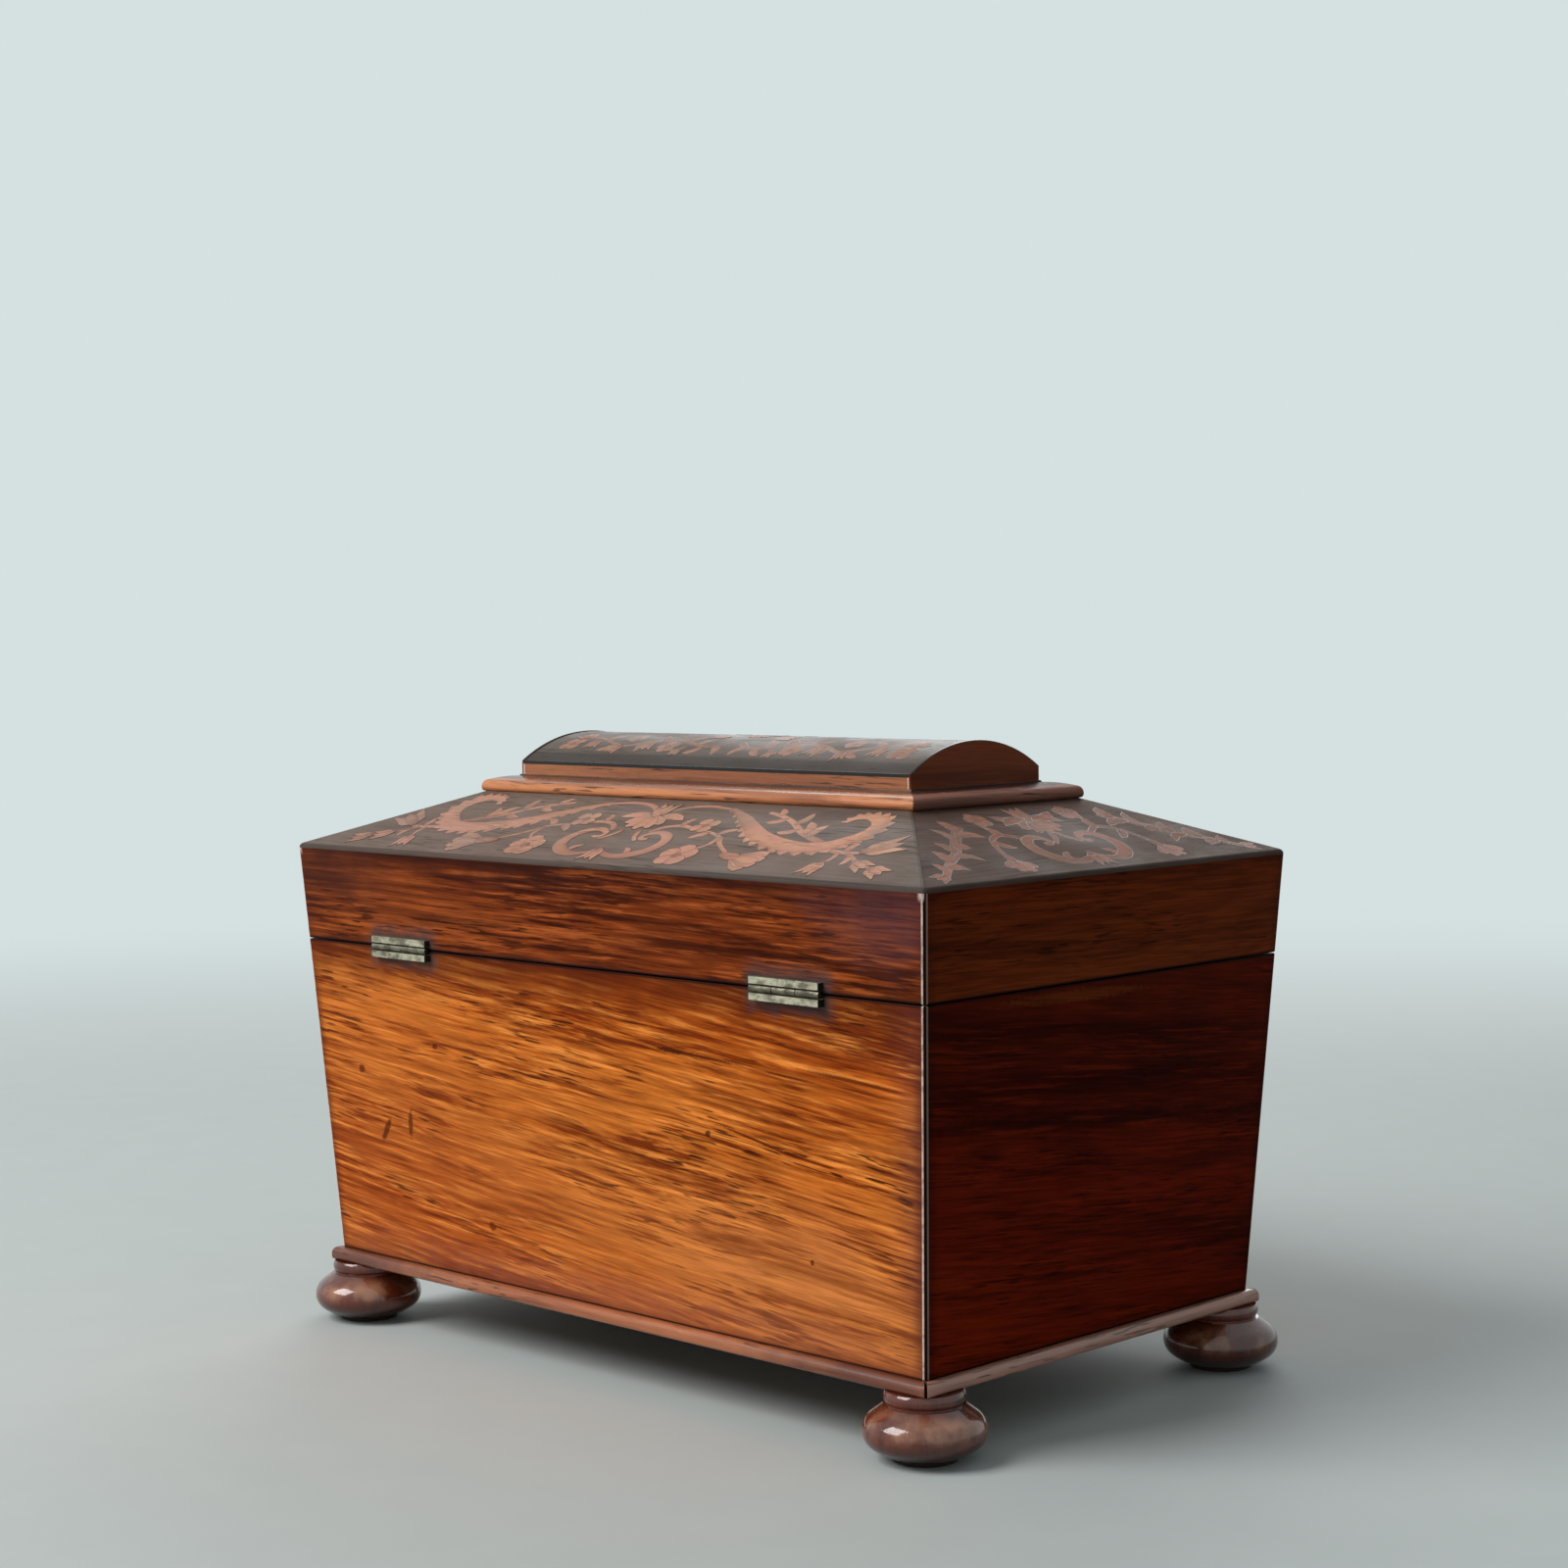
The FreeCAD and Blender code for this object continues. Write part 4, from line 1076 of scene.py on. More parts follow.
CASE_END = replace(
    CASE_FRONT, name="case_end_rosewood", grain=Grain.ALONG_Y, dark="2a0500", body="5a1202", light="701e06",
    pore="160402", pore_share=0.6, count=90.0, run=5.0, tilt=-0.1, band_share=0.75, streak_share=0.5,
    stain="280b04", edge_dark_share=0.4, bruise="1c0a08", worn="a08a80", wear_and_highlight_share=0.55, gloss=0.01, zones=END_ZONES)
LID_LONG = replace(
    CASE_BACK, name="lid_long_rosewood", dark="3a0f02", body="78320e", light="a85324", low=LID_RIM, high=EDGE_LEVEL,
    tilt=-0.02, run=5.0, count=280.0, wave=3.0, band_share=0.7, stain="34130c", edge_dark_reach=13.0, glint_share=1.0, zones=(
        Patch(20, 166, 90, 10, 0, "3a1a18", 0.5, 0.9),
    ), marks=(
        # Painted reflection: a purple sheen at the top of the frieze near the corner.
        Patch(-140, 161, 56, 22, 6, "56343a", 0.65, 0.9),
        Patch(135, 162, 60, 20, 0, "4c241a", 0.65, 0.9),
    ))
LID_END = replace(
    CASE_END, name="lid_end_rosewood", dark="371206", body="60240a", light="6e3012", low=LID_RIM, high=EDGE_LEVEL,
    tilt=-0.02, streak_share=0.35, edge_dark_reach=7.0, zones=())
STRIP_LONG = ZonedWood(
    "strip_long_rosewood", dark="62301e", body="aa6440", light="c88058", roughness=0.3, coat=0.3,
    zones=tuple(Patch(spot, 23, 84, 24, 0, "56302a", 0.85, 0.9) for spot in (-124, 132)))
STRIP_END = replace(
    STRIP_LONG, name="strip_end_rosewood", grain=Grain.ALONG_Y, dark="4c2820", body="a26e5c", light="b27e6a",
    gloss=0.45, coat=0.4, zones=())
NOSING_LONG = ZonedWood(
    "nosing_long_veneer", dark="6a3014", body="bc6e46", light="dc925c", roughness=0.26, coat=0.3,
    zones=(Patch(0, PLINTH_LOW.z, 900, 1.3, 0, "1c0c08", 0.9, 0.4),))
NOSING_END = replace(
    NOSING_LONG, name="nosing_end_veneer", grain=Grain.ALONG_Y, dark="52342a", body="905f50", light="9e6d5c",
    roughness=0.45, gloss=0.06, coat=0.0)
FOOT_WOOD = TurnedWood(
    "foot_rosewood", grain=Grain.ALONG_Z, dark="2a0c05", body="5e2412", light="76361f", run=14.0, count=140.0,
    band_share=0.45, streak_share=0.2, pore_share=0.3, roughness=0.17, gloss=0.55, coat=0.35, coat_roughness=0.06)
# The pad is painted dark as the shade where the foot meets the floor.
FOOT_PAD_SHADE = Wood(
    "foot_pad_painted_shade", grain=Grain.ALONG_Z, dark="1e100c", body="33201a", light="3e2820", roughness=0.6, gloss=0.2,
    coat=0.0)
GROUND_LONG = SlopeWood(
    "slope_ground_long", dark="4e433c", body="64554c", light="726258", pore="3c322c", band_share=0.5, streak_share=0.4,
    roughness=0.5, gloss=0.1, coat=0.0, zones=(Patch(38, 181, 240, 30, 0, "7c6255", 0.6, 0.9),))
# The end ground's zone is a painted shadow under the nosing.
GROUND_END = replace(
    GROUND_LONG, name="slope_ground_end", grain=Grain.ALONG_Y, dark="42312a", body="584339", light="664f44", gloss=0.05,
    zones=(Patch(20, 189, 80, 7, 0, "452a22", 0.65, 0.9),))
INLAY_LONG = SandShaded(
    "inlay_veneer_long", dark="9c6a54", body="bb856c", light="d09a7c", pore="7e5442", band_share=0.3, tilt=0.2,
    streak_share=0.4, roughness=0.5, gloss=0.1, coat=0.0, zones=(
        # Painted sheen: the inlay towards this end is greyed as by a grazing reflection.
        Patch(112, 177, 120, 26, 0, "94786a", 0.7, 0.9),
    ))
# The end inlay's zone is a painted sheen that greys it on one half.
INLAY_END = replace(
    INLAY_LONG, name="inlay_veneer_end", grain=Grain.ALONG_Y, dark="825444", body="9a6652", light="aa755f",
    blush="a66a57", faded="84685a", gloss=0.05, zones=(Patch(-55, 180, 80, 30, 0, "725a50", 0.5, 0.9),))
INLAY_DOME = replace(INLAY_LONG, name="inlay_veneer_dome", dark="84604f", body="9e7663", light="b08772",
                     blush="a87a6a", faded="88756a", zones=())
KERF = Wood("dark_kerf", dark="1a0f0c", body="2a1a15", light="33211b", relief=0.01)
DOME_GROUND = DomeWood(
    "dome_ground", dark="463a33", body="5a4a40", light="66564c", band_share=0.5, edge=DOME_HIGH.y, end=DOME_HIGH.x,
    roughness=0.45, gloss=0.15, coat=0.0)
DOME_END = Wood(
    "dome_end_rosewood", grain=Grain.ALONG_Y, dark="4a2010", body="7a3a1f", light="8a482a", gloss=0.05, coat=0.0)
# The zones are painted highlight lines on the plinth band's two upright end edges.
PLINTH_TAN = ZonedWood(
    "plinth_tan_veneer", dark="623018", body="965838", light="bc774a", roughness=0.3, coat=0.25,
    zones=tuple(Patch(end * PLINTH_HIGH.x, PLINTH_LOW.z + 2, 1.1, 24, 0, "f0dccf", 0.9, 0.5) for end in (1, -1)))
EBONY = Wood("ebony_stringing", dark="0a0706", body="130e0d", light="1b1513", roughness=0.3)
PINE = Wood("old_pine", dark="8a5f34", body="b48a5a", light="c49a68", roughness=0.6, gloss=0.15, coat=0.0, relief=0.06)
BASE_PINE = replace(PINE, name="stained_pine", dark="4a2c18", body="6e4629", light="7f5533")
LINING_LONG = Wood("cedar_lining_long", dark="6e4022", body="9a6238", light="ad7345", roughness=0.5, coat=0.05)
LINING_END = replace(LINING_LONG, name="cedar_lining_end", grain=Grain.ALONG_Y)
HINGE_BRASS = HingeMetal("aged_hinge_brass", bright="d2cab0", dark="4a4436", tarnish_share=0.8, roughness=0.36)
LOCK_BRASS = Metal("old_lock_brass", bright="c9a55e", dark="6b5530", tarnish_share=0.6, roughness=0.32)
LOCK_STEEL = Metal("filed_steel", bright="a9a6a0", dark="5a544c", tarnish_share=0.5, roughness=0.38)


class Side(Enum):
    """A side of the box: the way that it faces and the way along it, in plan."""

    BACK = ((0, 1), (1, 0))
    RIGHT = ((1, 0), (0, -1))
    FRONT = ((0, -1), (-1, 0))
    LEFT = ((-1, 0), (0, 1))

    @property
    def label(self) -> str:
        """Give the side's name as the parts have it."""
        return self.name.lower()

    @property
    def is_long(self) -> bool:
        """Tell whether this is one of the two long sides."""
        return self in (Side.BACK, Side.FRONT)

    def pick(self, long: Finish, short: Finish) -> Finish:
        """Choose between the finish of the long sides and that of the ends."""
        return long if self.is_long else short

    def halves(self, half: Flat) -> Flat:
        """Give half the run along this side and the distance of its face."""
        return half if self.is_long else half[::-1]

    def place(self, along: float, out: float, level: float) -> Vector:
        """Turn a place on this side into one in the box's frame."""
        return Vector((*(face * out + run * along for face, run in zip(*self.value)), level))


@dataclass(frozen=True)
class Station:
    """A cross-section of a frame side: its share of the straight run, its turn and how far it is drawn in."""

    share: float
    turn: float = 0.0
    nick: float = 0.0


def side_stations(nick: float, run_steps: int = 12, turn_steps: int = 6) -> list[Station]:
    """Place cross-sections along a side, from mitre to mitre, with a fine nick at each mitre.

    Args:
        nick: How deep the nick is.
        run_steps: How many lengths the straight run has.
        turn_steps: How many facets half a corner has.

    Returns:
        The cross-sections in order.
    """
    corner, last = 45.0, 38.0
    turns = [Station(1.0, last * step / turn_steps) for step in range(1, turn_steps + 1)]
    turns += [Station(1.0, (last + corner) / 2 + 1.5, nick / 4), Station(1.0, corner, nick)]
    run = [Station(2 * step / run_steps - 1) for step in range(run_steps + 1)]
    return [replace(station, share=-1.0) for station in reversed(turns)] + run + turns


@dataclass(frozen=True)
class Ring:
    """The outline that four mitred sides follow."""

    half: Callable[[float], Flat]
    corner: float
    shrink: float = 1.0
    gap: float = 0.0
    nick: float = 0.12

    def side(self, side: Side, profile: Sequence[Flat]) -> Form:
        """Run a closed profile along one side, round half of each corner to its mitres.

        Args:
            side: The side.
            profile: The level of each point and how far it lies in from the outline.

        Returns:
            The side's form.
        """
        loops = []
        for station in side_stations(self.nick):
            loop = []
            for level, inset in profile:
                drawn = inset + station.nick * max(0.0, 1 - inset / self.corner)
                run, out = (size - drawn for size in side.halves(self.half(level)))
                radius = max(self.corner - self.shrink * inset, 0.0)
                angle = math.radians(station.turn)
                along = station.share * (run - radius + radius * math.sin(angle)) * (1 - self.gap / run)
                loop.append(side.place(along, out - radius + radius * math.cos(angle), level))
            loops.append(loop)
        return loft(loops)


def eased_board(low: float, high: float, thickness: float, ease: float, steps: int = 4) -> list[Flat]:
    """Give the profile of an upright board with rounded edges.

    Args:
        low: The level of its lower edge.
        high: The level of its upper edge.
        thickness: Its thickness.
        ease: The radius of its edges.
        steps: How many facets a rounded edge has.

    Returns:
        Level and inset of each point.
    """
    corners = ((low + ease, ease, 180), (high - ease, ease, 270),
               (high - ease, thickness - ease, 0), (low + ease, thickness - ease, 90))
    return [
        point
        for level, inset, start in corners
        for point in arc((level, inset), ease, start, start + 90, steps)
    ]


@dataclass(frozen=True)
class CaseWalls:
    """The four tapered and mitred walls of the case, veneered in rosewood."""

    thickness: float = 10.0
    corner: float = 2.0
    lip: float = 0.45

    def build(self) -> None:
        """Make the walls, cut for the hinges and the lock, and polish them."""
        ring = Ring(TAPER.half, self.corner)
        profile = eased_board(TAPER.foot[2], RIM, self.thickness, self.lip)
        cuts = {Side.BACK: HARDWARE.hinge_cuts(below=True), Side.FRONT: HARDWARE.lock_cuts()}
        finishes = {Side.BACK: CASE_BACK, Side.FRONT: CASE_FRONT}
        for side in Side:
            wall = to_thing(f"polished_{side.label}_wall", ring.side(side, profile))
            carve(wall, cuts.get(side, []))
            dress(wall, Body.CASE, "case_rosewood", [finishes.get(side, CASE_END)], [f"{side.label}_wall"])


@dataclass(frozen=True)
class Base:
    """The base strips with their open mitres, and the four turned feet."""

    strip_round: float = 2.3
    strip_under: float = 1.2
    strip_corner: float = 0.8
    strip_nick: float = 0.35
    mitre_gap: float = 0.6
    turning_steps: int = 96
    pad_radius: float = 10.25
    pad_height: float = 1.2
    pad_ease: float = 0.4
    bun_level: float = 8.8
    belly_reach: float = 2.3
    belly_rise: float = 4.6
    under_round: float = 17.0
    shoulder_reach: float = 2.8
    shoulder_rise: float = 5.2
    neck_radius: float = 12.6
    neck_level: float = 16.6
    groove_depth: float = 0.8
    groove_height: float = 0.6
    ring_round: float = 3.1
    spigot_radius: float = 4.5

    def build(self) -> None:
        """Make and polish the strips and the feet."""
        low, high = box("base_strip_back")
        projection = high.y - TAPER.foot[1]
        ring = Ring(lambda level: (high.x, high.y), self.strip_corner, gap=self.mitre_gap, nick=self.strip_nick)
        nose, under = self.strip_round, self.strip_under
        profile = [
            (low.z, projection),
            *arc((low.z + under, under), under, 180, 270, 5),
            *arc((high.z - nose, nose), nose, 270, 360, 8),
            (high.z, projection),
        ]
        for side in Side:
            strip = to_thing(f"rounded_base_strip_{side.label}", ring.side(side, profile))
            dress(strip, Body.CASE, "moulding_rosewood", [side.pick(STRIP_LONG, STRIP_END)],
                  [f"base_strip_{side.label}"])
        for node in [f"foot_{end}_{side}" for end in ("back", "front") for side in ("left", "right")]:
            self.build_foot(node)
        coat_part("base_board", BASE_PINE)

    def build_foot(self, node: str) -> None:
        """Turn one bun foot.

        Args:
            node: The foot's name.
        """
        low, high = box(node)
        centre = ((low.x + high.x) / 2, (low.y + high.y) / 2)
        bun = min(high.x - low.x, high.y - low.y) / 2
        foot = to_thing(f"turned_{node}", turned(self.foot_profile(high.z, bun), centre, self.turning_steps))
        dress(foot, Body.CASE, "turned_rosewood", [FOOT_WOOD, FOOT_PAD_SHADE], [node])
        # The pad's faces take the painted shade finish.
        pad_top = self.pad_height * MM
        for face in foot.data.polygons:
            face.material_index = int(face.center.z < pad_top)

    def foot_profile(self, top: float, bun: float) -> list[Flat]:
        """Draw the profile of a foot from its pad to its spigot.

        Args:
            top: The level of the spigot's end.
            bun: The greatest radius of the foot.

        Returns:
            Radius and level of each point.
        """
        ring_top, groove = box("base_board")[0].z, self.neck_radius - self.groove_depth
        ring_low = self.neck_level + self.groove_height
        widest = (bun, self.bun_level)
        under = (bun - self.belly_reach, self.bun_level - self.belly_rise)
        shoulder = (bun - self.shoulder_reach, self.bun_level + self.shoulder_rise)
        return [
            (0.0, 0.0),
            *arc((self.pad_radius - self.pad_ease, self.pad_ease), self.pad_ease, -90, 0, 3),
            *bowed((self.pad_radius, self.pad_height), under, self.under_round, 8),
            *bowed(under, widest, arch_radius(self.belly_reach, self.belly_rise), 10)[1:],
            *bowed(widest, shoulder, arch_radius(self.shoulder_reach, self.shoulder_rise), 12)[1:],
            (self.neck_radius, self.neck_level),
            (groove, self.neck_level),
            *bowed((groove, ring_low), (groove, ring_top), self.ring_round, 10),
            (self.spigot_radius, ring_top),
            (self.spigot_radius, top),
            (0.0, top),
        ]


def coat_part(node: str, finish: Finish) -> None:
    """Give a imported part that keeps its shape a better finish.

    Args:
        node: The part's name.
        finish: The finish.
    """
    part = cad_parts[node]
    part.data.materials.clear()
    part.data.materials.append(finish.material())
    log.info("%s keeps its shape", node)


def ease_part(node: str, width: float, body: Body, slot: str, finish: Finish) -> None:
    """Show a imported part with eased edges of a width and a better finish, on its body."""
    dress(to_thing(f"eased_{node}", softened(node, width)), body, slot, [finish], [node])


LINE_STEPS, SPINE_STEPS = 7, 8
LEAST_HALF = 0.02
FOOT_SHADE, SIDE_SHADE = 0.4, 0.16
CUT_SPOTS = (-1.0, -0.4, 0.4, 1.0)


@dataclass(frozen=True)
class Strip:
    """A sawn piece of veneer: a line on its panel, and the widths at even steps along it."""

    line: tuple[Flat, ...]
    widths: tuple[float, ...]
    tone: float = 0.85
    edged: bool = True

    def mirrored(self, across: int = -1, over: int = 1) -> Strip:
        """Give the same piece on the other side of the panel's middle."""
        return replace(self, line=tuple((across * along, over * up) for along, up in self.line))

    def width_at(self, share: float) -> float:
        """Give the width at a place on the line.

        Args:
            share: How far along the line it is.

        Returns:
            The width, which eases from step to step.
        """
        step = min(int(share * (len(self.widths) - 1)), len(self.widths) - 2)
        blend = share * (len(self.widths) - 1) - step
        blend *= blend * (3 - 2 * blend)
        return self.widths[step] + (self.widths[step + 1] - self.widths[step]) * blend

    def rows(self, grow: float) -> list[list[tuple[float, float, float]]]:
        """Cut the piece across its line.

        Args:
            grow: How far its edges are moved out.

        Returns:
            For each cut the place and the tone of its points.
        """
        middle = [Vector(point) for point in smooth_line(self.line, LINE_STEPS)]
        last = len(middle) - 1
        ways = [(middle[min(i + 1, last)] - middle[max(i - 1, 0)]).normalized() for i in range(last + 1)]
        middle[0] -= ways[0] * grow
        middle[last] += ways[last] * grow
        cuts = []
        for index, (point, way) in enumerate(zip(middle, ways)):
            share = index / last
            reach = max(self.width_at(share) / 2 + grow, LEAST_HALF)
            shade = self.tone - FOOT_SHADE * (1 - share) ** 3
            cuts.append([
                (*(point + Vector((-way.y, way.x)) * reach * aside), shade - SIDE_SHADE * (aside + 1) * abs(aside))
                for aside in CUT_SPOTS
            ])
        return cuts


@dataclass(frozen=True)
class Spot:
    """Where a flower sits: its foot, the way that it points in degrees, and its length."""

    along: float
    up: float
    angle: float
    size: float

    def strip(self, line: Sequence[Flat], widths: Sequence[float], tone: float = 0.85) -> Strip:
        """Place a piece that is drawn for a flower of length one.

        Args:
            line: Its line, from the flower's foot along X.
            widths: Its widths at even steps.
            tone: Its tone.

        Returns:
            The piece in its place.
        """
        cos, sin = (self.size * f(math.radians(self.angle)) for f in (math.cos, math.sin))
        moved = tuple((self.along + x * cos - y * sin, self.up + x * sin + y * cos) for x, y in line)
        return Strip(moved, tuple(width * self.size for width in widths), tone)


def petal(spot: Spot, turn: float, reaches: Sequence[float], widths: Sequence[float], tone: float = 0.95) -> Strip:
    """Draw a straight petal that is turned about the flower's foot."""
    return spot.strip([(r * math.cos(turn), r * math.sin(turn)) for r in reaches], widths, tone)


def stem(*line: Flat, width: float = 1.1) -> list[Strip]:
    """Draw a stem that thins towards its tip."""
    return [Strip(line, (width * 1.25, width * 1.25, width, width * 0.85), 0.8)]


def leaf(start: Flat, end: Flat, width: float, bend: float = 0.15) -> Strip:
    """Draw a leaf.

    Args:
        start: Its foot.
        end: Its tip.
        width: Its greatest width.
        bend: How far its middle lies aside, as a share of its length.

    Returns:
        The leaf.
    """
    foot, tip = Vector(start), Vector(end)
    way = tip - foot
    middle = (foot + tip) / 2 + Vector((-way.y, way.x)) * bend
    return Strip((start, tuple(middle), end), (width * 0.25, width, width * 0.75, 0.0))


def tulip(spot: Spot) -> list[Strip]:
    """Draw a tulip with two curved side petals, a middle petal and a cup.

    Args:
        spot: Where it sits.

    Returns:
        Its pieces.
    """
    side = ((0.02, 0.03), (0.28, 0.22), (0.62, 0.25), (1.0, 0.40))
    sides = [spot.strip([(x, sign * y) for x, y in side], (0.10, 0.26, 0.24, 0.02), 0.9) for sign in (-1, 1)]
    return [*sides, petal(spot, 0.0, (0.08, 0.5, 0.92), (0.14, 0.32, 0.28, 0.02), 0.85),
            petal(spot, 0.0, (-0.10, 0.06, 0.22), (0.08, 0.26, 0.30, 0.12), 0.6)]


def carnation(spot: Spot, petals: int = 7, spread: float = 34.0) -> list[Strip]:
    """Draw a carnation: a fan of blunt petals over a long cup.

    Args:
        spot: Where it sits.
        petals: How many petals the fan has.
        spread: How far the fan opens to each side in degrees.

    Returns:
        Its pieces.
    """
    strips = []
    for index in sorted(range(petals), key=lambda i: -abs(i - (petals - 1) / 2)):
        turn = math.radians(spread * (2 * index / (petals - 1) - 1))
        reach = 0.72 - 0.1 * (index % 2) - 0.16 * abs(turn)
        way = (math.cos(turn), math.sin(turn))
        line = [(0.30 + r * way[0], r * way[1] * 1.05) for r in (0.0, reach * 0.5, reach)]
        strips.append(spot.strip(line, (0.05, 0.17, 0.25, 0.15), 0.95))
    return [*strips, petal(spot, 0.0, (-0.04, 0.2, 0.44), (0.08, 0.20, 0.24, 0.10), 0.6)]


def rosette(spot: Spot, petals: int = 5) -> list[Strip]:
    """Draw an open flower with round petals about an eye.

    Args:
        spot: Its centre, turn and radius.
        petals: How many petals it has.

    Returns:
        Its pieces.
    """
    turns = [math.tau * index / petals for index in range(petals)]
    fan = [petal(spot, turn, (0.12, 0.55, 1.0), (0.3, 0.84, 0.92, 0.4)) for turn in turns]
    return [*fan, petal(spot, 0.0, (-0.22, 0.0, 0.22), (0.08, 0.4, 0.4, 0.08), 0.5)]


def acanthus(line: Sequence[Flat], widths: Sequence[float], lobes: int, side: int) -> list[Strip]:
    """Draw an acanthus leaf: lobes set along one side of a curved spine.

    Args:
        line: The spine.
        widths: The leaf's widths at even steps along it.
        lobes: How many lobes it has.
        side: On which side of the spine they are, 1 for its left.

    Returns:
        Its pieces.
    """
    spine = [Vector(point) for point in smooth_line(line, SPINE_STEPS)]
    whole = Strip(tuple(line), tuple(widths))
    strips = []
    for index in range(lobes):
        share = (index + 0.5) / lobes
        step = min(int(share * (len(spine) - 1)), len(spine) - 2)
        way = (spine[step + 1] - spine[step]).normalized()
        aside = Vector((-way.y, way.x)) * side
        reach = whole.width_at(share)
        foot = spine[step] - way * reach * 0.2
        tip = spine[step] + aside * reach * 0.72 + way * reach * 0.4
        strips.append(leaf(tuple(foot), tuple(tip), reach * 0.66, 0.12 * -side))
    strips.append(replace(whole, widths=tuple(width * 0.78 for width in widths), tone=0.95, edged=False))
    return strips


def volute(scale: float = 1.0) -> list[Strip]:
    """Draw the scroll on one side of a panel's middle, with its hook and a cusp leaf.

    Args:
        scale: How large it is.

    Returns:
        Its pieces.
    """
    path = ((0, 11.5), (4, 8.8), (9, 7.2), (14, 7.8), (18, 9.8), (21.3, 12.8), (22.8, 16.8), (22, 21.2),
            (19.5, 24.2), (15.5, 26), (11.5, 25.2), (9.2, 22.8), (10.6, 20.6), (13.3, 20.8))
    return [leaf((14 * scale, 8.5), (10 * scale, 14), 2.6, -0.2),
            Strip(tuple((along * scale, up) for along, up in path), (1.4, 3, 4.8, 5, 4, 2.8, 2, 1.7))]


def long_motif() -> list[Strip]:
    """Draw one half of the ornament of a long slope, without what stands in its middle.

    Returns:
        Its pieces, the lowest first.
    """
    crescent = ((29, 46.5), (39, 41), (47.5, 35.3), (55.8, 29.5), (67.5, 24.5), (79, 22), (89, 22.8),
                (95.8, 27.8), (100, 34.5), (98.6, 42), (92.5, 45.6), (86.6, 44.6), (84.6, 40.8))
    return [
        *stem((1.7, 41), (9, 46), (19, 47.6), (29, 46.2), width=1.7),
        *stem((87.5, 26), (80.8, 28.7), (72.5, 32.8), (64, 38.7), (55.8, 42.8), (47.5, 45.3), width=2.0),
        leaf((79, 29.5), (80, 38.5), 4), leaf((76, 31), (70.5, 40), 4, -0.1),
        leaf((70.5, 34), (63, 31.5), 3.6), leaf((66, 37.3), (66.5, 46.5), 3.8, -0.1),
        leaf((59, 41.5), (52, 38), 3.4), leaf((54.5, 43.3), (50.5, 48.5), 3, -0.1),
        *stem((9, 26), (12.5, 30.3), (19, 32), (24, 31), (29, 29.5), (37.5, 27.8), (45, 24.5),
              width=1.7),
        leaf((40, 27), (46.5, 31.5), 3.2), leaf((36, 28), (30, 23), 3.4, -0.12),
        leaf((19, 32), (20.5, 38), 3),
        *stem((43.5, 25.2), (47.5, 20.5), (55.8, 14.8), width=1.6),
        *stem((42.5, 25.6), (43, 20), (39.5, 15.5), width=1.4),
        *stem((92.5, 22), (99, 20.3), (107.5, 20.3), (111.5, 23), width=1.8),
        *stem((100, 19.8), (101, 16), (100, 11.5), width=1.4),
        *stem((104, 19.6), (109, 16.5), (113.5, 13.5), width=1.4),
        *stem((111, 15), (117, 12.5), (122, 10), width=1.2),
        leaf((103, 20.5), (103.5, 27.5), 3), leaf((106.5, 18), (107.5, 11.5), 2.6),
        *acanthus(crescent, (2.4, 6.2, 8.4, 9, 8.8, 8.4, 7.4, 4.8, 2.6), 26, -1),
        *volute(),
        *stem((4, 26.5), (6, 22), (9, 19), width=1.6),
        leaf((1.5, 37), (15.5, 36), 5.2, 0.14),
        *rosette(Spot(29, 33, 35, 5.4), 4),
        *rosette(Spot(37, 11, 18, 7.6)),
        *carnation(Spot(55, 13.6, -12, 20.5), spread=26.0),
        *tulip(Spot(109.5, 21.5, 34, 14)),
        *tulip(Spot(100, 12.5, -100, 9)),
        *tulip(Spot(112.5, 14, -28, 8.5)),
        *tulip(Spot(121, 10.6, -24, 9)),
    ]


def lily(spot: Spot) -> list[Strip]:
    """Draw an open lily: a fan of petals with a bud over it."""
    fan = [petal(spot, math.radians(a), (0.0, 0.5, 1.0), (0.14, 0.36, 0.46, 0.16)) for a in (-56, 56, -30, 30, 0)]
    return fan + tulip(replace(spot, angle=spot.angle + 180, size=spot.size * 0.95))


def slope_middle() -> list[Strip]:
    """Draw what stands in the middle of a slope: a lily, and a bud that hangs from the scrolls."""
    return [*lily(Spot(0, 38, -90, 10.5)), *tulip(Spot(0, 12, -90, 9))]


def end_motif() -> list[Strip]:
    """Draw one half of the ornament of an end slope.

    Returns:
        Its pieces, the lowest first.
    """
    hip = ((34.5, 38), (46, 28), (55, 19.5), (65, 13), (73, 6.5))
    leaves = [((70, 9.2), (70.5, 15)), ((67, 11.6), (60, 9)), ((62.5, 14.6), (62, 23)),
              ((57, 18), (47.5, 14)), ((54, 20.4), (55.5, 28.5)), ((50, 24.2), (44.5, 22.6)),
              ((46, 28), (47.5, 38)), ((42.5, 31.2), (31, 29)), ((39, 34.2), (39.5, 43))]
    return [
        *stem(*hip, width=2.6),
        *[leaf(foot, tip, 3.4 + index % 3, 0.2 * (-1) ** index) for index, (foot, tip) in enumerate(leaves)],
        *stem((17, 26), (23.5, 29.5), (30, 27), (34.5, 20.5), (36, 15), width=1.6),
        leaf((24, 29), (25, 36.5), 3.6), leaf((31, 25.8), (26, 20), 3.2),
        *volute(0.85),
        *stem((1, 28), (3, 24), (6.5, 20.5), width=1.5),
        leaf((1.5, 38.5), (15, 43), 5.2, -0.12), leaf((1.5, 38), (14, 35.5), 4.8, 0.16),
        *carnation(Spot(36, 16.5, -82, 13), spread=45.0),
        *rosette(Spot(22, 41, 10, 5), 5),
        *tulip(Spot(73, 6.8, -20, 6.5)),
    ]


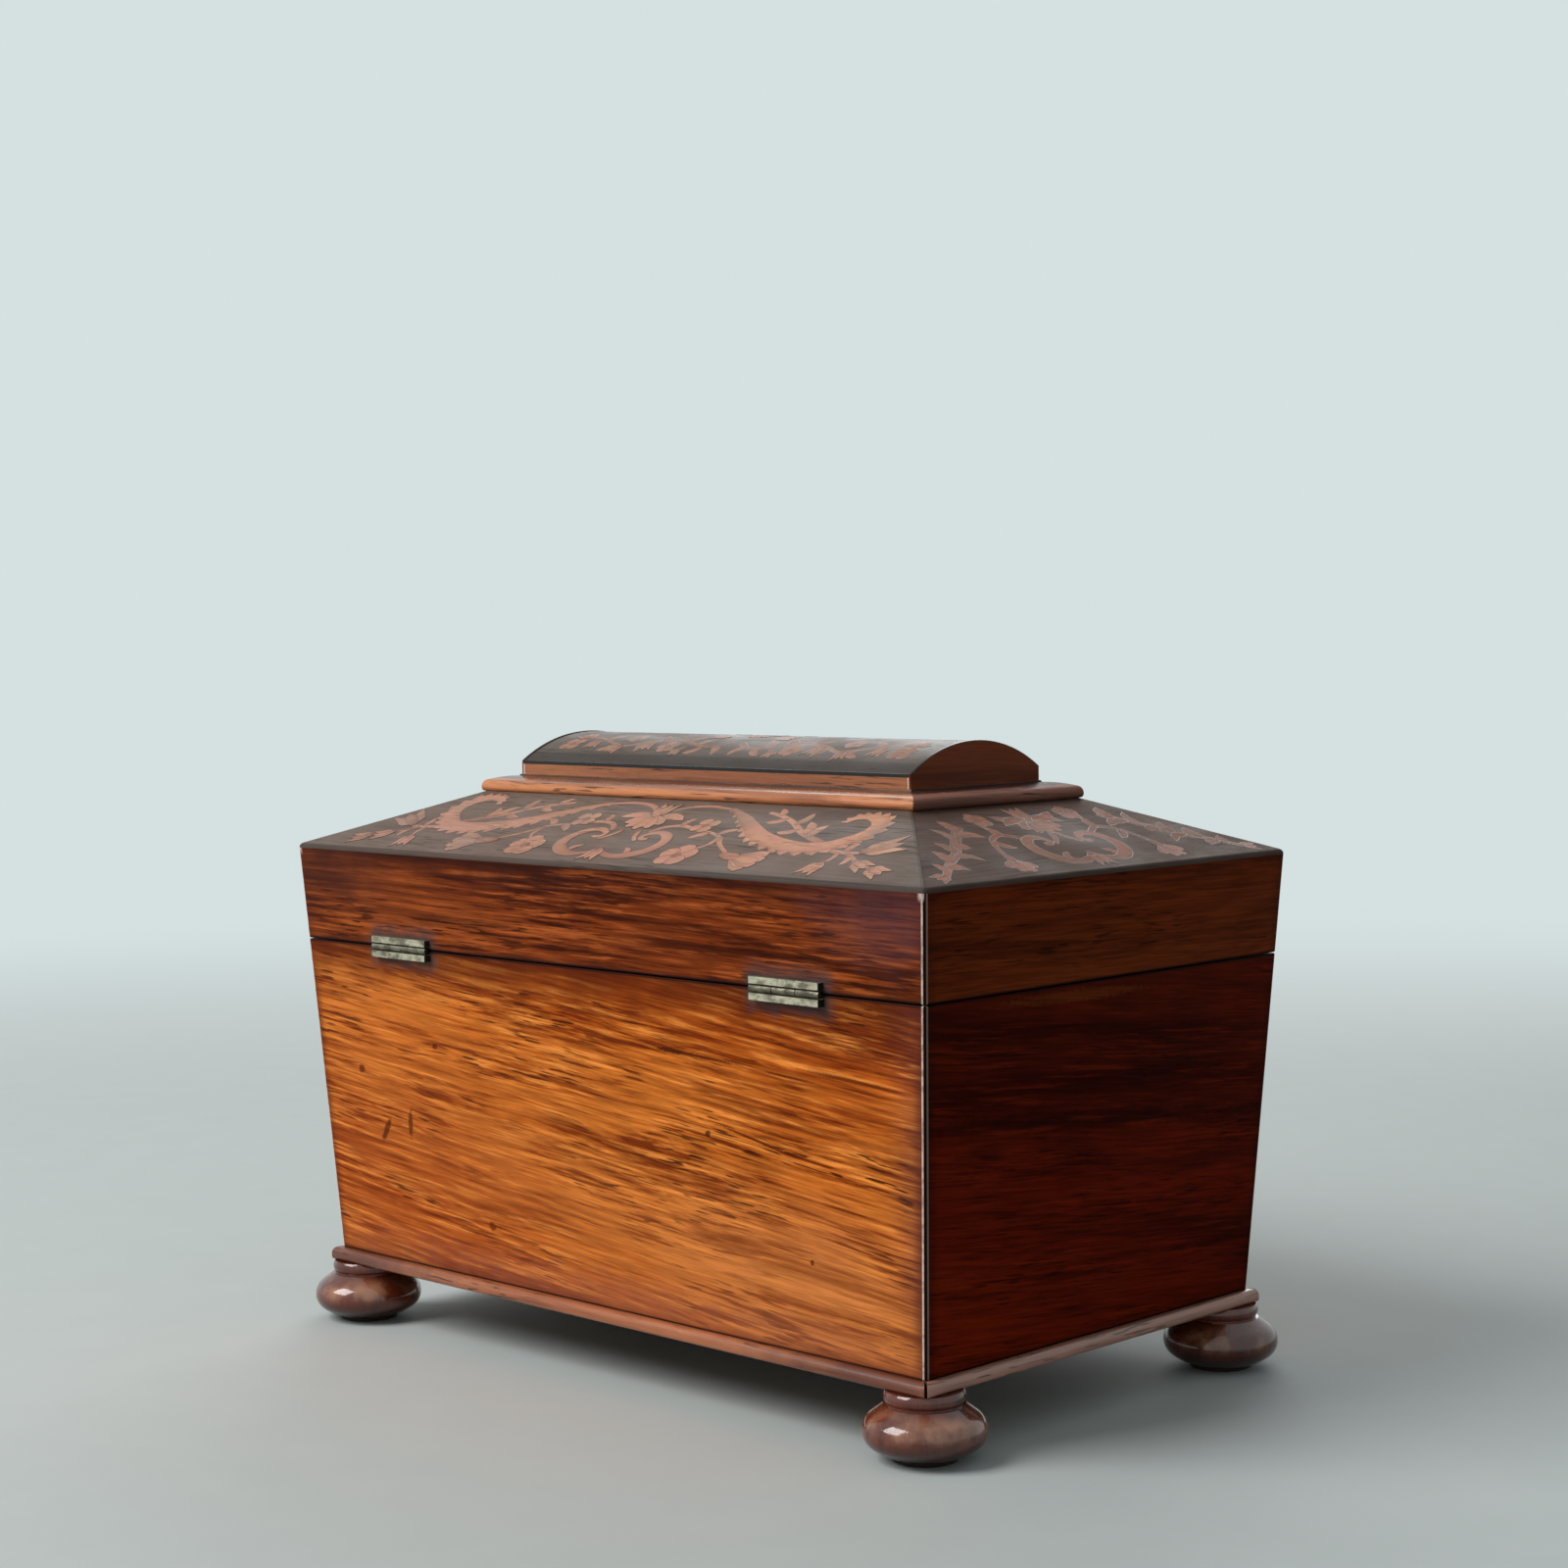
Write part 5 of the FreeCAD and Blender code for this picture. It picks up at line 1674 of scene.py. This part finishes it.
def dome_motif() -> list[Strip]:
    """Draw a quarter of the ornament of the dome, from its middle to an end and from its ridge to an edge.

    Returns:
        Its pieces, the lowest first.
    """
    wave = ((2, 15), (10, 19.5), (20, 17), (30, 13), (42, 16), (52, 20.5), (62, 17.5),
            (71, 13.5), (80, 15))
    leaves = [((8, 18.5), (4, 25.5)), ((13, 19.6), (18.5, 25)), ((17, 18.2), (13.5, 11)),
              ((25, 15), (20, 8.5)), ((35, 13.8), (41, 8)), ((46, 18.2), (43, 25.5)),
              ((57, 19.5), (63.5, 24.5)), ((66, 15.8), (61, 9.5)), ((75, 13.7), (79.5, 7.5))]
    return [
        *stem(*wave, width=1.6),
        *[leaf(foot, tip, 3.5, 0.15) for foot, tip in leaves],
        *rosette(Spot(30, 20, 0, 4.6)),
        *rosette(Spot(53, 12.5, 30, 4.2)),
        *carnation(Spot(20.5, 19.5, 60, 7.4), 5),
        *rosette(Spot(80, 20, 45, 5.2), 4),
        *tulip(Spot(78.5, 14, -35, 7.2)),
        *tulip(Spot(70, 16, 100, 7.6)),
        *tulip(Spot(42, 16.5, 105, 8)),
        *tulip(Spot(54, 20, 75, 6.8)),
        *tulip(Spot(12, 7, 0, 7.6)),
    ]


@dataclass(frozen=True)
class Marquetry:
    """Sawn pieces of pale veneer let into a panel, each with a dark saw kerf round it."""

    kerf: float = 0.16
    proud: float = 0.0016
    depth: float = 0.35
    stray: float = 0.1
    stray_turn: float = 7.3

    def lay(self, name: str, layers: Sequence[Sequence[Strip]], place: Placer, finish: Finish) -> None:
        """Let the pieces of a panel into it.

        Args:
            name: The object's name.
            layers: Groups of pieces that don't cover each other, each with the lowest piece first.
            place: What turns a place on the panel and a height above it into one in the box's frame.
            finish: The finish of the pale veneer.
        """
        points, faces, tones, kinds = [], [], [], []
        for strips in layers:
            for index, strip in enumerate(strips):
                stray = self.stray * math.sin(self.stray_turn * index)
                for grow, lift, kind in ((self.kerf, 0.0, 1), (0.0, 0.5, 0))[not strip.edged:]:
                    top = (index + 1 + lift) * self.proud
                    rows = [self.section(row, top, place) for row in strip.rows(grow)]
                    first, wide = len(points), len(rows[0])
                    points += [point for row in rows for point, tone in row]
                    tones += [tone + stray for row in rows for point, tone in row]
                    skin = self.skin(first, len(rows), wide)
                    faces += skin
                    kinds += [kind] * len(skin)
        data = bpy.data.meshes.new(name)
        data.from_pydata(points, [], faces)
        data.attributes.new(TONE, "FLOAT", "POINT").data.foreach_set("value", tones)
        dress(into_scene(name, data), Body.LID, "marquetry_veneer", [finish, KERF])
        data.polygons.foreach_set("material_index", kinds)

    def section(self, row: Sequence[tuple[float, ...]], top: float, place: Placer) -> list[tuple[Vector, float]]:
        """Close a cut of a piece with its underside."""
        cut = [(point, top) for point in row] + [(point, -self.depth) for point in (row[-1], row[0])]
        return [(place(along, up, height) * MM, tone) for (along, up, tone), height in cut]

    @staticmethod
    def skin(first: int, rows: int, wide: int) -> list[tuple[int, ...]]:
        """Give the faces of a piece: its sides and its two ends.

        Args:
            first: The number of its first point.
            rows: How many cuts it has.
            wide: How many points a cut has.

        Returns:
            The faces, seen from outside.
        """
        faces = [tuple(first + i for i in range(wide))]
        for row in range(rows - 1):
            near, far = first + row * wide, first + (row + 1) * wide
            faces += [(near + i, far + i, far + (i + 1) % wide, near + (i + 1) % wide) for i in range(wide)]
        return faces + [tuple(first + (rows - 1) * wide + i for i in reversed(range(wide)))]


@dataclass(frozen=True)
class Frieze:
    """The lid's four tapered rails and its ceiling board."""

    thickness: float = 10.0
    corner: float = 2.0
    lip: float = 0.45
    lap: float = 1.6
    ceiling_ease: float = 0.3

    def build(self) -> None:
        """Make the rails, cut for the hinges and the link plate, and polish them."""
        ring = Ring(TAPER.half, self.corner)
        top = EDGE_LEVEL - ARRIS.drop
        lip, inner = self.lip, self.thickness - self.lip
        profile = [
            *arc((LID_RIM + lip, lip), lip, 180, 270, 4),
            (top, 0.0),
            (top, self.lap),
            (EDGE_LEVEL, self.lap),
            (EDGE_LEVEL, self.thickness),
            *arc((LID_RIM + lip, inner), lip, 90, 180, 4),
        ]
        cuts = {Side.BACK: HARDWARE.hinge_cuts(below=False), Side.FRONT: HARDWARE.link_cuts()}
        for side in Side:
            rail = to_thing(f"polished_lid_rail_{side.label}", ring.side(side, profile))
            carve(rail, cuts.get(side, []))
            dress(rail, Body.LID, "lid_rosewood", [side.pick(LID_LONG, LID_END)], [f"lid_rail_{side.label}"])
        ease_part("lid_ceiling", self.ceiling_ease, Body.LID, "lining_wood", LINING_LONG)


@dataclass(frozen=True)
class Arris:
    """The rounded edge between the frieze and the sloping roof."""

    radius: float = 1.9

    @property
    def way(self) -> Vector:
        """Give the run and the rise of the roof."""
        return Vector((box("slope_board_back")[1].y - ROOF_LOW.y, ROOF_HIGH.z - ROOF_LOW.z))

    @property
    def turn(self) -> float:
        """Give how far the roof leans out of the upright."""
        return math.atan2(self.way.x, self.way.y)

    @property
    def drop(self) -> float:
        """Give how far below the edge its rounding begins."""
        return self.radius * math.tan(self.turn / 2)

    def profile(self, steps: int = 8) -> list[Flat]:
        """Give level and inset of the rounded edge, from the frieze to the slope."""
        centre, end = (self.radius, EDGE_LEVEL - self.drop), 180 - math.degrees(self.turn)
        return [(level, inset) for inset, level in arc(centre, self.radius, 180, end, steps)]


ARRIS = Arris()


@dataclass(frozen=True)
class Roof:
    """The four sloping veneers with their inlay, on boards that don't show."""

    corner: float = 2.0
    lap: float = 1.6
    nick: float = 0.15

    def build(self) -> None:
        """Make the veneers, let the ornament into them and finish the boards."""
        way = ARRIS.way
        crown = EDGE_LEVEL + way.y
        veneer = TAPER.edge[1] - box("slope_board_back")[1].y
        ring = Ring(lambda level: TAPER.half(min(level, EDGE_LEVEL)), self.corner, shrink=0.0, nick=self.nick)
        top = EDGE_LEVEL - ARRIS.drop
        profile = [(EDGE_LEVEL, veneer), (EDGE_LEVEL, self.lap), (top, self.lap), *ARRIS.profile(),
                   (crown, way.x), (crown, way.x + veneer)]
        for side in Side:
            ground = to_thing(f"slope_ground_{side.label}", ring.side(side, profile))
            dress(ground, Body.LID, "marquetry_veneer", [side.pick(GROUND_LONG, GROUND_END)],
                  [f"slope_veneer_{side.label}"])
            half = long_motif() if side.is_long else end_motif()
            layers = [half + slope_middle(), [strip.mirrored() for strip in half]]
            Marquetry().lay(f"slope_inlay_{side.label}", layers, self.placer(side),
                            side.pick(INLAY_LONG, INLAY_END))
            coat_part(f"slope_board_{side.label}", PINE)

    @staticmethod
    def placer(side: Side) -> Placer:
        """Give what turns a place on a slope into one in the box's frame.

        Args:
            side: The slope's side.

        Returns:
            A function of the place along, the place up the slope and the height above it.
        """
        way = ARRIS.way.normalized()
        edge = side.halves(TAPER.half(EDGE_LEVEL))[1]

        def place(along: float, up: float, height: float) -> Vector:
            """Turn a place on the slope into one in the box's frame."""
            out = edge - up * way.x + height * way.y
            return side.place(along, out, EDGE_LEVEL + up * way.y + height * way.x)

        return place


@dataclass(frozen=True)
class Crown:
    """The nosing that goes round the top of the roof, and its board."""

    corner: float = 1.0
    thumb: float = 26.0
    nose: float = 2.8
    bead: float = 0.6
    nick: float = 0.15

    def build(self) -> None:
        """Make and polish the nosing, a thumb moulding with a fine bead."""
        low, high = box("nosing_back")
        plinth, run, inner = PLINTH_LOW.z, high.y - PLINTH_HIGH.y, high.y - low.y
        reach, swing = run - self.bead - self.nose, self.thumb - self.nose
        centre, turn = plinth - self.thumb, math.degrees(math.asin(reach / swing))
        nose_level = centre + math.sqrt(swing ** 2 - reach ** 2)
        under = nose_level - low.z
        profile = [
            (low.z, inner),
            *arc((nose_level, under), under, 180, 270, 5),
            *arc((nose_level, self.nose), self.nose, 270, 360 - turn, 8),
            *arc((centre, run - self.bead), self.thumb, 360 - turn, 360, 8)[1:],
            *arc((plinth, run), self.bead, 270, 360, 5)[1:],
            (plinth, run),
            (plinth, inner),
        ]
        ring = Ring(lambda level: (high.x, high.y), self.corner, nick=self.nick)
        for side in Side:
            strip = to_thing(f"rounded_nosing_{side.label}", ring.side(side, profile))
            dress(strip, Body.LID, "tan_veneer", [side.pick(NOSING_LONG, NOSING_END)], [f"nosing_{side.label}"])
        coat_part("crown_board", PINE)


@dataclass(frozen=True)
class Dome:
    """The barrel-shaped top: its inlaid veneer, end facings, plinth bands and dark lines."""

    sunk: float = 0.3
    ease: float = 0.3
    ease_middle: float = 0.3
    line_ease: float = 0.12
    end_facing: float = 0.95
    top_facing: float = 0.3
    steps: int = 48
    lengths: int = 16

    def build(self) -> None:
        """Make and polish the dome's pieces."""
        for side in ("back", "front"):
            ease_part(f"plinth_band_{side}", self.line_ease, Body.LID, "tan_veneer", PLINTH_TAN)
            ease_part(f"dark_line_{side}", self.line_ease, Body.LID, "ebony_line", EBONY)
        coat_part("dome_core", PINE)
        end = box("dome_end_right")
        radius = self.radius
        outer = radius - self.sunk
        centre = DOME_HIGH.z - radius
        core = radius - (end[1].x - end[0].x)
        sweep = math.degrees(math.asin(DOME_HIGH.y / radius))
        section = arc((0.0, centre), outer, 90 - sweep, 90 + sweep, self.steps)
        section += arc((0.0, centre), core, 90 + sweep, 90 - sweep, self.steps)
        length = DOME_HIGH.x - DOME_LOW.x
        spots = [DOME_LOW.x + length * step / self.lengths for step in range(self.lengths + 1)]
        veneer = to_thing("dome_ground", loft([[Vector((x, y, z)) for y, z in section] for x in spots]))
        dress(veneer, Body.LID, "marquetry_veneer", [DOME_GROUND], ["dome_veneer"])
        quarter = dome_motif()
        centre_rose = rosette(Spot(0.0, 0.0, 90.0, 7.0), 8)
        layers = [quarter + centre_rose, [strip.mirrored() for strip in quarter]]
        layers += [[strip.mirrored(1, -1) for strip in half] for half in (quarter, layers[1])]

        def place(along: float, up: float, height: float) -> Vector:
            """Turn a place on the dome into one in the box's frame."""
            angle, reach = up / outer, outer + height
            return Vector((along, reach * math.sin(angle), centre + reach * math.cos(angle)))

        Marquetry().lay("dome_inlay", layers, place, INLAY_DOME)
        for side, sense in (("left", -1), ("right", 1)):
            self.build_end(side, sense, centre)

    @property
    def radius(self) -> float:
        """Give the radius of the dome's barrel from its width and its rise."""
        foot = box("dark_line_back")[1]
        return arch_radius(DOME_HIGH.z - foot.z, foot.y)

    def build_end(self, side: str, sense: int, centre: float) -> None:
        """Make one end facing with an eased edge.

        Args:
            side: The end's name.
            sense: The way that it faces along X.
            centre: The level of the barrel's axis.
        """
        low, high = box(f"dome_end_{side}")
        near, far = (low.x, high.x) if sense > 0 else (high.x, low.x)
        loops, middle = [], self.ease * self.ease_middle
        for drawn, back in ((0.0, None), (0.0, self.ease), (middle, middle), (self.ease, 0.0)):
            x = near if back is None else far - sense * back
            half, radius = high.y - drawn, self.radius - drawn
            sweep = math.degrees(math.asin(half / radius))
            outline = [(-half, low.z), (half, low.z), *arc((0.0, centre), radius, 90 - sweep, 90 + sweep, self.steps)]
            loops.append([Vector((x, y, z)) for y, z in outline])
        facing = to_thing(f"dome_facing_{side}", loft(loops))
        dress(facing, Body.LID, "end_veneer", [DOME_END, EBONY], [f"dome_end_{side}"])
        for face in facing.data.polygons:
            face.material_index = int(abs(face.normal.x) < self.end_facing and face.normal.z > self.top_facing)


def islands(node: str) -> list[tuple[Vector, Vector]]:
    """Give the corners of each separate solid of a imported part.

    Args:
        node: The part's name.

    Returns:
        The lowest and highest corner of each, in millimetres.
    """
    form = bmesh.new()
    form.from_mesh(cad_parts[node].data)
    bmesh.ops.remove_doubles(form, verts=form.verts, dist=WELD)
    left, found = set(form.verts), []
    while left:
        queue, group = [left.pop()], []
        while queue:
            vert = queue.pop()
            group.append(vert.co / MM)
            near = {edge.other_vert(vert) for edge in vert.link_edges} & left
            left -= near
            queue += near
        found.append(tuple(Vector([pick(co[axis] for co in group) for axis in range(3)]) for pick in (min, max)))
    form.free()
    return sorted(found, key=lambda pair: tuple(pair[0]))


@dataclass(frozen=True)
class Hardware:
    """The stop hinges, the box lock with its link plate, and their screws."""

    fit: float = 0.05
    over: float = 1.0
    leaf_thickness: float = 1.0
    web_depth: float = 1.0
    ease: float = 0.12
    eye: float = 3.4
    slot_half: float = 2.4
    key_depth: float = 5.0
    eye_steps: int = 24
    screw_steps: int = 24
    first_turn: float = 17.0
    next_turn: float = 67.0
    slot_over: float = 1.2
    slot_width: float = 0.5
    slot_depth: float = 0.4
    head_height: float = 0.9
    shank_radius: float = 0.8

    def grown(self, low: Sequence[float], high: Sequence[float]) -> Form:
        """Give a cutter a little larger than a box."""
        return block([x - self.fit for x in low], [x + self.fit for x in high])

    def hinge_cuts(self, below: bool) -> list[Form]:
        """Give the cutters for the recesses of two hinge leaves.

        Args:
            below: Whether these are the leaves of the case.

        Returns:
            The cutters.
        """
        cuts = []
        face = TAPER.half(SEAM)[1]
        for side in ("left", "right"):
            low, high = box(f"hinge_leaf_{'case' if below else 'lid'}_{side}")
            rim, strip, sense = (RIM, low.z, 1) if below else (LID_RIM, high.z, -1)
            for inner, floor in ((low.y, rim - sense * self.leaf_thickness), (face - self.web_depth, strip)):
                levels = sorted((floor, SEAM + sense * self.over))
                cuts.append(self.grown((low.x, inner, levels[0]), (high.x, high.y + self.over, levels[1])))
        return cuts

    def lock_cuts(self) -> list[Form]:
        """Give the cutters for the lock's plate, its mortise and the keyhole.

        Returns:
            The cutters.
        """
        plate, case = box("lock_plate"), box("lock_case")
        cuts = [self.grown(low, (high.x, high.y, RIM + self.over)) for low, high in (plate, case)]
        low, high = box("escutcheon")
        eye_level = high.z - self.eye
        reach = math.degrees(math.acos(self.slot_half / self.eye))
        outline = [(-self.slot_half, low.z), (self.slot_half, low.z),
                   *arc((0.0, eye_level), self.eye, -reach, 180 + reach, self.eye_steps)]
        depths = (low.y - self.key_depth, case[0].y + self.over)
        cuts.append(loft([[Vector((x, y, z)) for x, z in outline] for y in depths]))
        return cuts

    def link_cuts(self) -> list[Form]:
        """Give the cutter for the link plate's recess."""
        low, high = box("link_plate")
        return [self.grown((low.x, low.y, LID_RIM - self.over), high)]

    def build(self) -> None:
        """Make the hinges, the lock and the screws."""
        for side in ("left", "right"):
            for piece, body in (("leaf_case", Body.CASE), ("leaf_lid", Body.LID), ("pin", Body.CASE)):
                ease_part(f"hinge_{piece}_{side}", self.ease, body, "hinge_brass", HINGE_BRASS)
        brass, steel = ("lock_brass", LOCK_BRASS), ("lock_steel", LOCK_STEEL)
        for node, body, look in (
                ("lock_plate", Body.CASE, brass), ("escutcheon", Body.CASE, brass), ("lock_case", Body.CASE, steel),
                ("link_plate", Body.LID, brass), ("lock_bolt", Body.BOLT, steel)):
            ease_part(node, self.ease, body, *look)
        self.build_screws("case_screws", Body.CASE, 1)
        self.build_screws("lid_screws", Body.LID, -1)

    def build_screws(self, node: str, body: Body, sense: int) -> None:
        """Make a group of slotted screws.

        Args:
            node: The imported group.
            body: The body that carries them.
            sense: The way that their heads face, 1 for up.
        """
        group = bmesh.new()
        for index, (low, high) in enumerate(islands(node)):
            face, tip = (high.z, low.z) if sense > 0 else (low.z, high.z)
            centre, radius = ((low.x + high.x) / 2, (low.y + high.y) / 2), (high.x - low.x) / 2
            neck = face - sense * self.head_height
            point = tip + sense * self.shank_radius * 2
            profile = [(0.0, face), (radius, face), (self.shank_radius, neck), (self.shank_radius, point), (0.0, tip)]
            screw = to_thing("screw", turned(profile, centre, self.screw_steps))
            half = self.slot_width / 2
            turn = math.radians(self.first_turn + self.next_turn * index)
            ends = [Vector((math.cos(turn), math.sin(turn))) * radius * way * self.slot_over for way in (-1, 1)]
            aside = Vector((-math.sin(turn), math.cos(turn))) * half
            plan = [ends[0] - aside, ends[1] - aside, ends[1] + aside, ends[0] + aside]
            carve(screw, [loft([[Vector((centre[0] + spot.x, centre[1] + spot.y, level)) for spot in plan]
                                for level in (face - sense * self.slot_depth, face + sense * self.over)])])
            group.from_mesh(screw.data)
            bpy.data.meshes.remove(screw.data)
        dress(to_thing(f"slotted_{node}", group), body, "hinge_brass", [LOCK_BRASS], [node])


HARDWARE = Hardware()


@dataclass(frozen=True)
class Interior:
    """The lining boards, the floor and the partitions."""

    ease: float = 0.35

    def build(self) -> None:
        """Make and finish the inside of the case."""
        boards = [(f"{side.label}_lining", side.pick(LINING_LONG, LINING_END)) for side in Side]
        boards += [("floor_lining", LINING_LONG), ("partition_left", LINING_END), ("partition_right", LINING_END)]
        for node, finish in boards:
            ease_part(node, self.ease, Body.CASE, "lining_wood", finish)


def seen_directly(graph: Graph) -> Socket:
    """Tell what the camera sees straight, in a reflection or through glass from plain light.

    Args:
        graph: The graph of a material or a world.

    Returns:
        1 for what is seen and 0 for plain light.
    """
    path = graph.add("LightPath").outputs
    seen = graph.math("MAXIMUM", path["Is Camera Ray"], path["Is Glossy Ray"])
    return graph.math("MAXIMUM", seen, path["Is Transmission Ray"])


@dataclass(frozen=True)
class PaleFloor(Finish):
    """A plain pale floor that runs into the backdrop's colour away from the box."""

    body: str = "bcc1bf"
    light: str = "c1c6c4"
    backdrop: str = "d5e0e1"
    mottle: float = 40.0
    roughness: float = 0.7
    gloss: float = 0.15
    fade_from: float = 0.55
    fade_to: float = 1.6

    def surface(self, graph: Graph) -> dict:
        """Give the floor a faint mottle.

        Args:
            graph: The material's graph.

        Returns:
            The shader's inputs.
        """
        mottle = graph.noise(graph.object_place(), self.mottle, 3.0)
        colour = graph.mix(mottle, tint(self.body), tint(self.light))
        return {"Base Color": colour, "Roughness": self.roughness, "Specular IOR Level": self.gloss}

    def make(self) -> bpy.types.Material:
        """Build the floor's material with its fade.

        Returns:
            The material.
        """
        made = super().make()
        graph = Graph(made.node_tree)
        output = made.node_tree.get_output_node("ALL").inputs["Surface"]
        distance = graph.add("VectorMath", {0: graph.object_place()}, operation="LENGTH").outputs["Value"]
        share = graph.times(seen_directly(graph), graph.ease(distance, self.fade_from, self.fade_to))
        shown = graph.add("Emission", {"Color": tint(self.backdrop), "Strength": 1.0})
        both = graph.add("MixShader", {0: share, 1: output.links[0].from_socket, 2: shown.outputs[0]})
        made.node_tree.links.new(both.outputs[0], output)
        return made


@dataclass(frozen=True)
class Lamp:
    """A soft square light that faces the box: its place and its edge in metres, and its power in watts."""

    name: str
    place: tuple[float, float, float]
    power: float
    size: float = 1.2

    def hang(self) -> None:
        """Hang the light and turn it to the box."""
        data = bpy.data.lights.new(self.name, "AREA")
        data.energy, data.size = self.power, self.size
        light = into_scene(self.name, data)
        light.location = self.place
        aim = Vector((0.0, 0.0, CAD_BOX[1].z / 2)) - light.location
        light.rotation_mode = "QUATERNION"
        light.rotation_quaternion = aim.to_track_quat("-Z", "Y")


@dataclass(frozen=True)
class Studio:
    """The floor, the soft light and the camera."""

    azimuth: float = 224.713
    look_down: float = 3.12
    roll: float = -0.753
    eye: tuple[float, float, float] = (-0.7099, 0.7099, 0.2486)
    lens: float = 66.83
    sensor: float = 36.0
    floor_half: float = 9.0
    floor_depth: float = 20.0
    wall_colour: str = "d5e0e1"
    sky: float = 0.42
    lamps: tuple[Lamp, ...] = (Lamp("key", (0.7, 1.4, 1.5), 36.0), Lamp("fill", (0.9, -1.35, 0.9), 9.0))

    def build(self) -> None:
        """Set the floor, the world, the lights and the camera."""
        self.build_floor()
        self.build_world()
        for lamp in self.lamps:
            lamp.hang()
        self.build_camera()

    def build_floor(self) -> None:
        """Lay a plain pale floor under the feet."""
        half = self.floor_half / MM
        floor = to_thing("floor", block((-half, -half, -self.floor_depth), (half, half, 0.0)))
        floor.data.materials.append(PaleFloor("pale_floor", backdrop=self.wall_colour).material())
        log.info("floor laid")

    def build_world(self) -> None:
        """Light the scene evenly, and show a pale wall to the camera and in reflections."""
        world = bpy.data.worlds.new("studio")
        bpy.context.scene.world = world
        world.use_nodes = True
        world.node_tree.nodes.clear()
        graph = Graph(world.node_tree)
        seen = seen_directly(graph)
        lit = graph.add("Background", {"Color": tint(self.wall_colour), "Strength": self.sky})
        shown = graph.add("Background", {"Color": tint(self.wall_colour), "Strength": 1.0})
        both = graph.add("MixShader", {0: seen, 1: lit.outputs[0], 2: shown.outputs[0]})
        graph.add("OutputWorld", {"Surface": both.outputs[0]})

    def build_camera(self) -> None:
        """Set the camera where the view of the box is taken from."""
        data = bpy.data.cameras.new("camera")
        data.lens, data.sensor_width = self.lens, self.sensor
        camera = into_scene("camera", data)
        around, down, roll = (math.radians(a) for a in (self.azimuth, self.look_down, self.roll))
        back = Vector((math.sin(around) * math.cos(down), -math.cos(around) * math.cos(down), math.sin(down)))
        turn = (-back).to_track_quat("-Z", "Y")
        camera.rotation_mode = "QUATERNION"
        camera.rotation_quaternion = turn @ Quaternion((0.0, 0.0, 1.0), roll)
        camera.location = self.eye
        bpy.context.scene.camera = camera


def main() -> None:
    """Build the box piece by piece, then the studio."""
    logging.basicConfig(level=logging.INFO, format="%(name)s: %(message)s")
    bpy.context.scene.view_settings.view_transform = "Standard"
    for assembly in (CaseWalls(), Base(), Frieze(), Roof(), Crown(), Dome(), HARDWARE, Interior(), Studio()):
        log.info("building %s", type(assembly).__name__)
        assembly.build()
    bpy.context.view_layer.update()


if __name__ == "__main__":
    main()
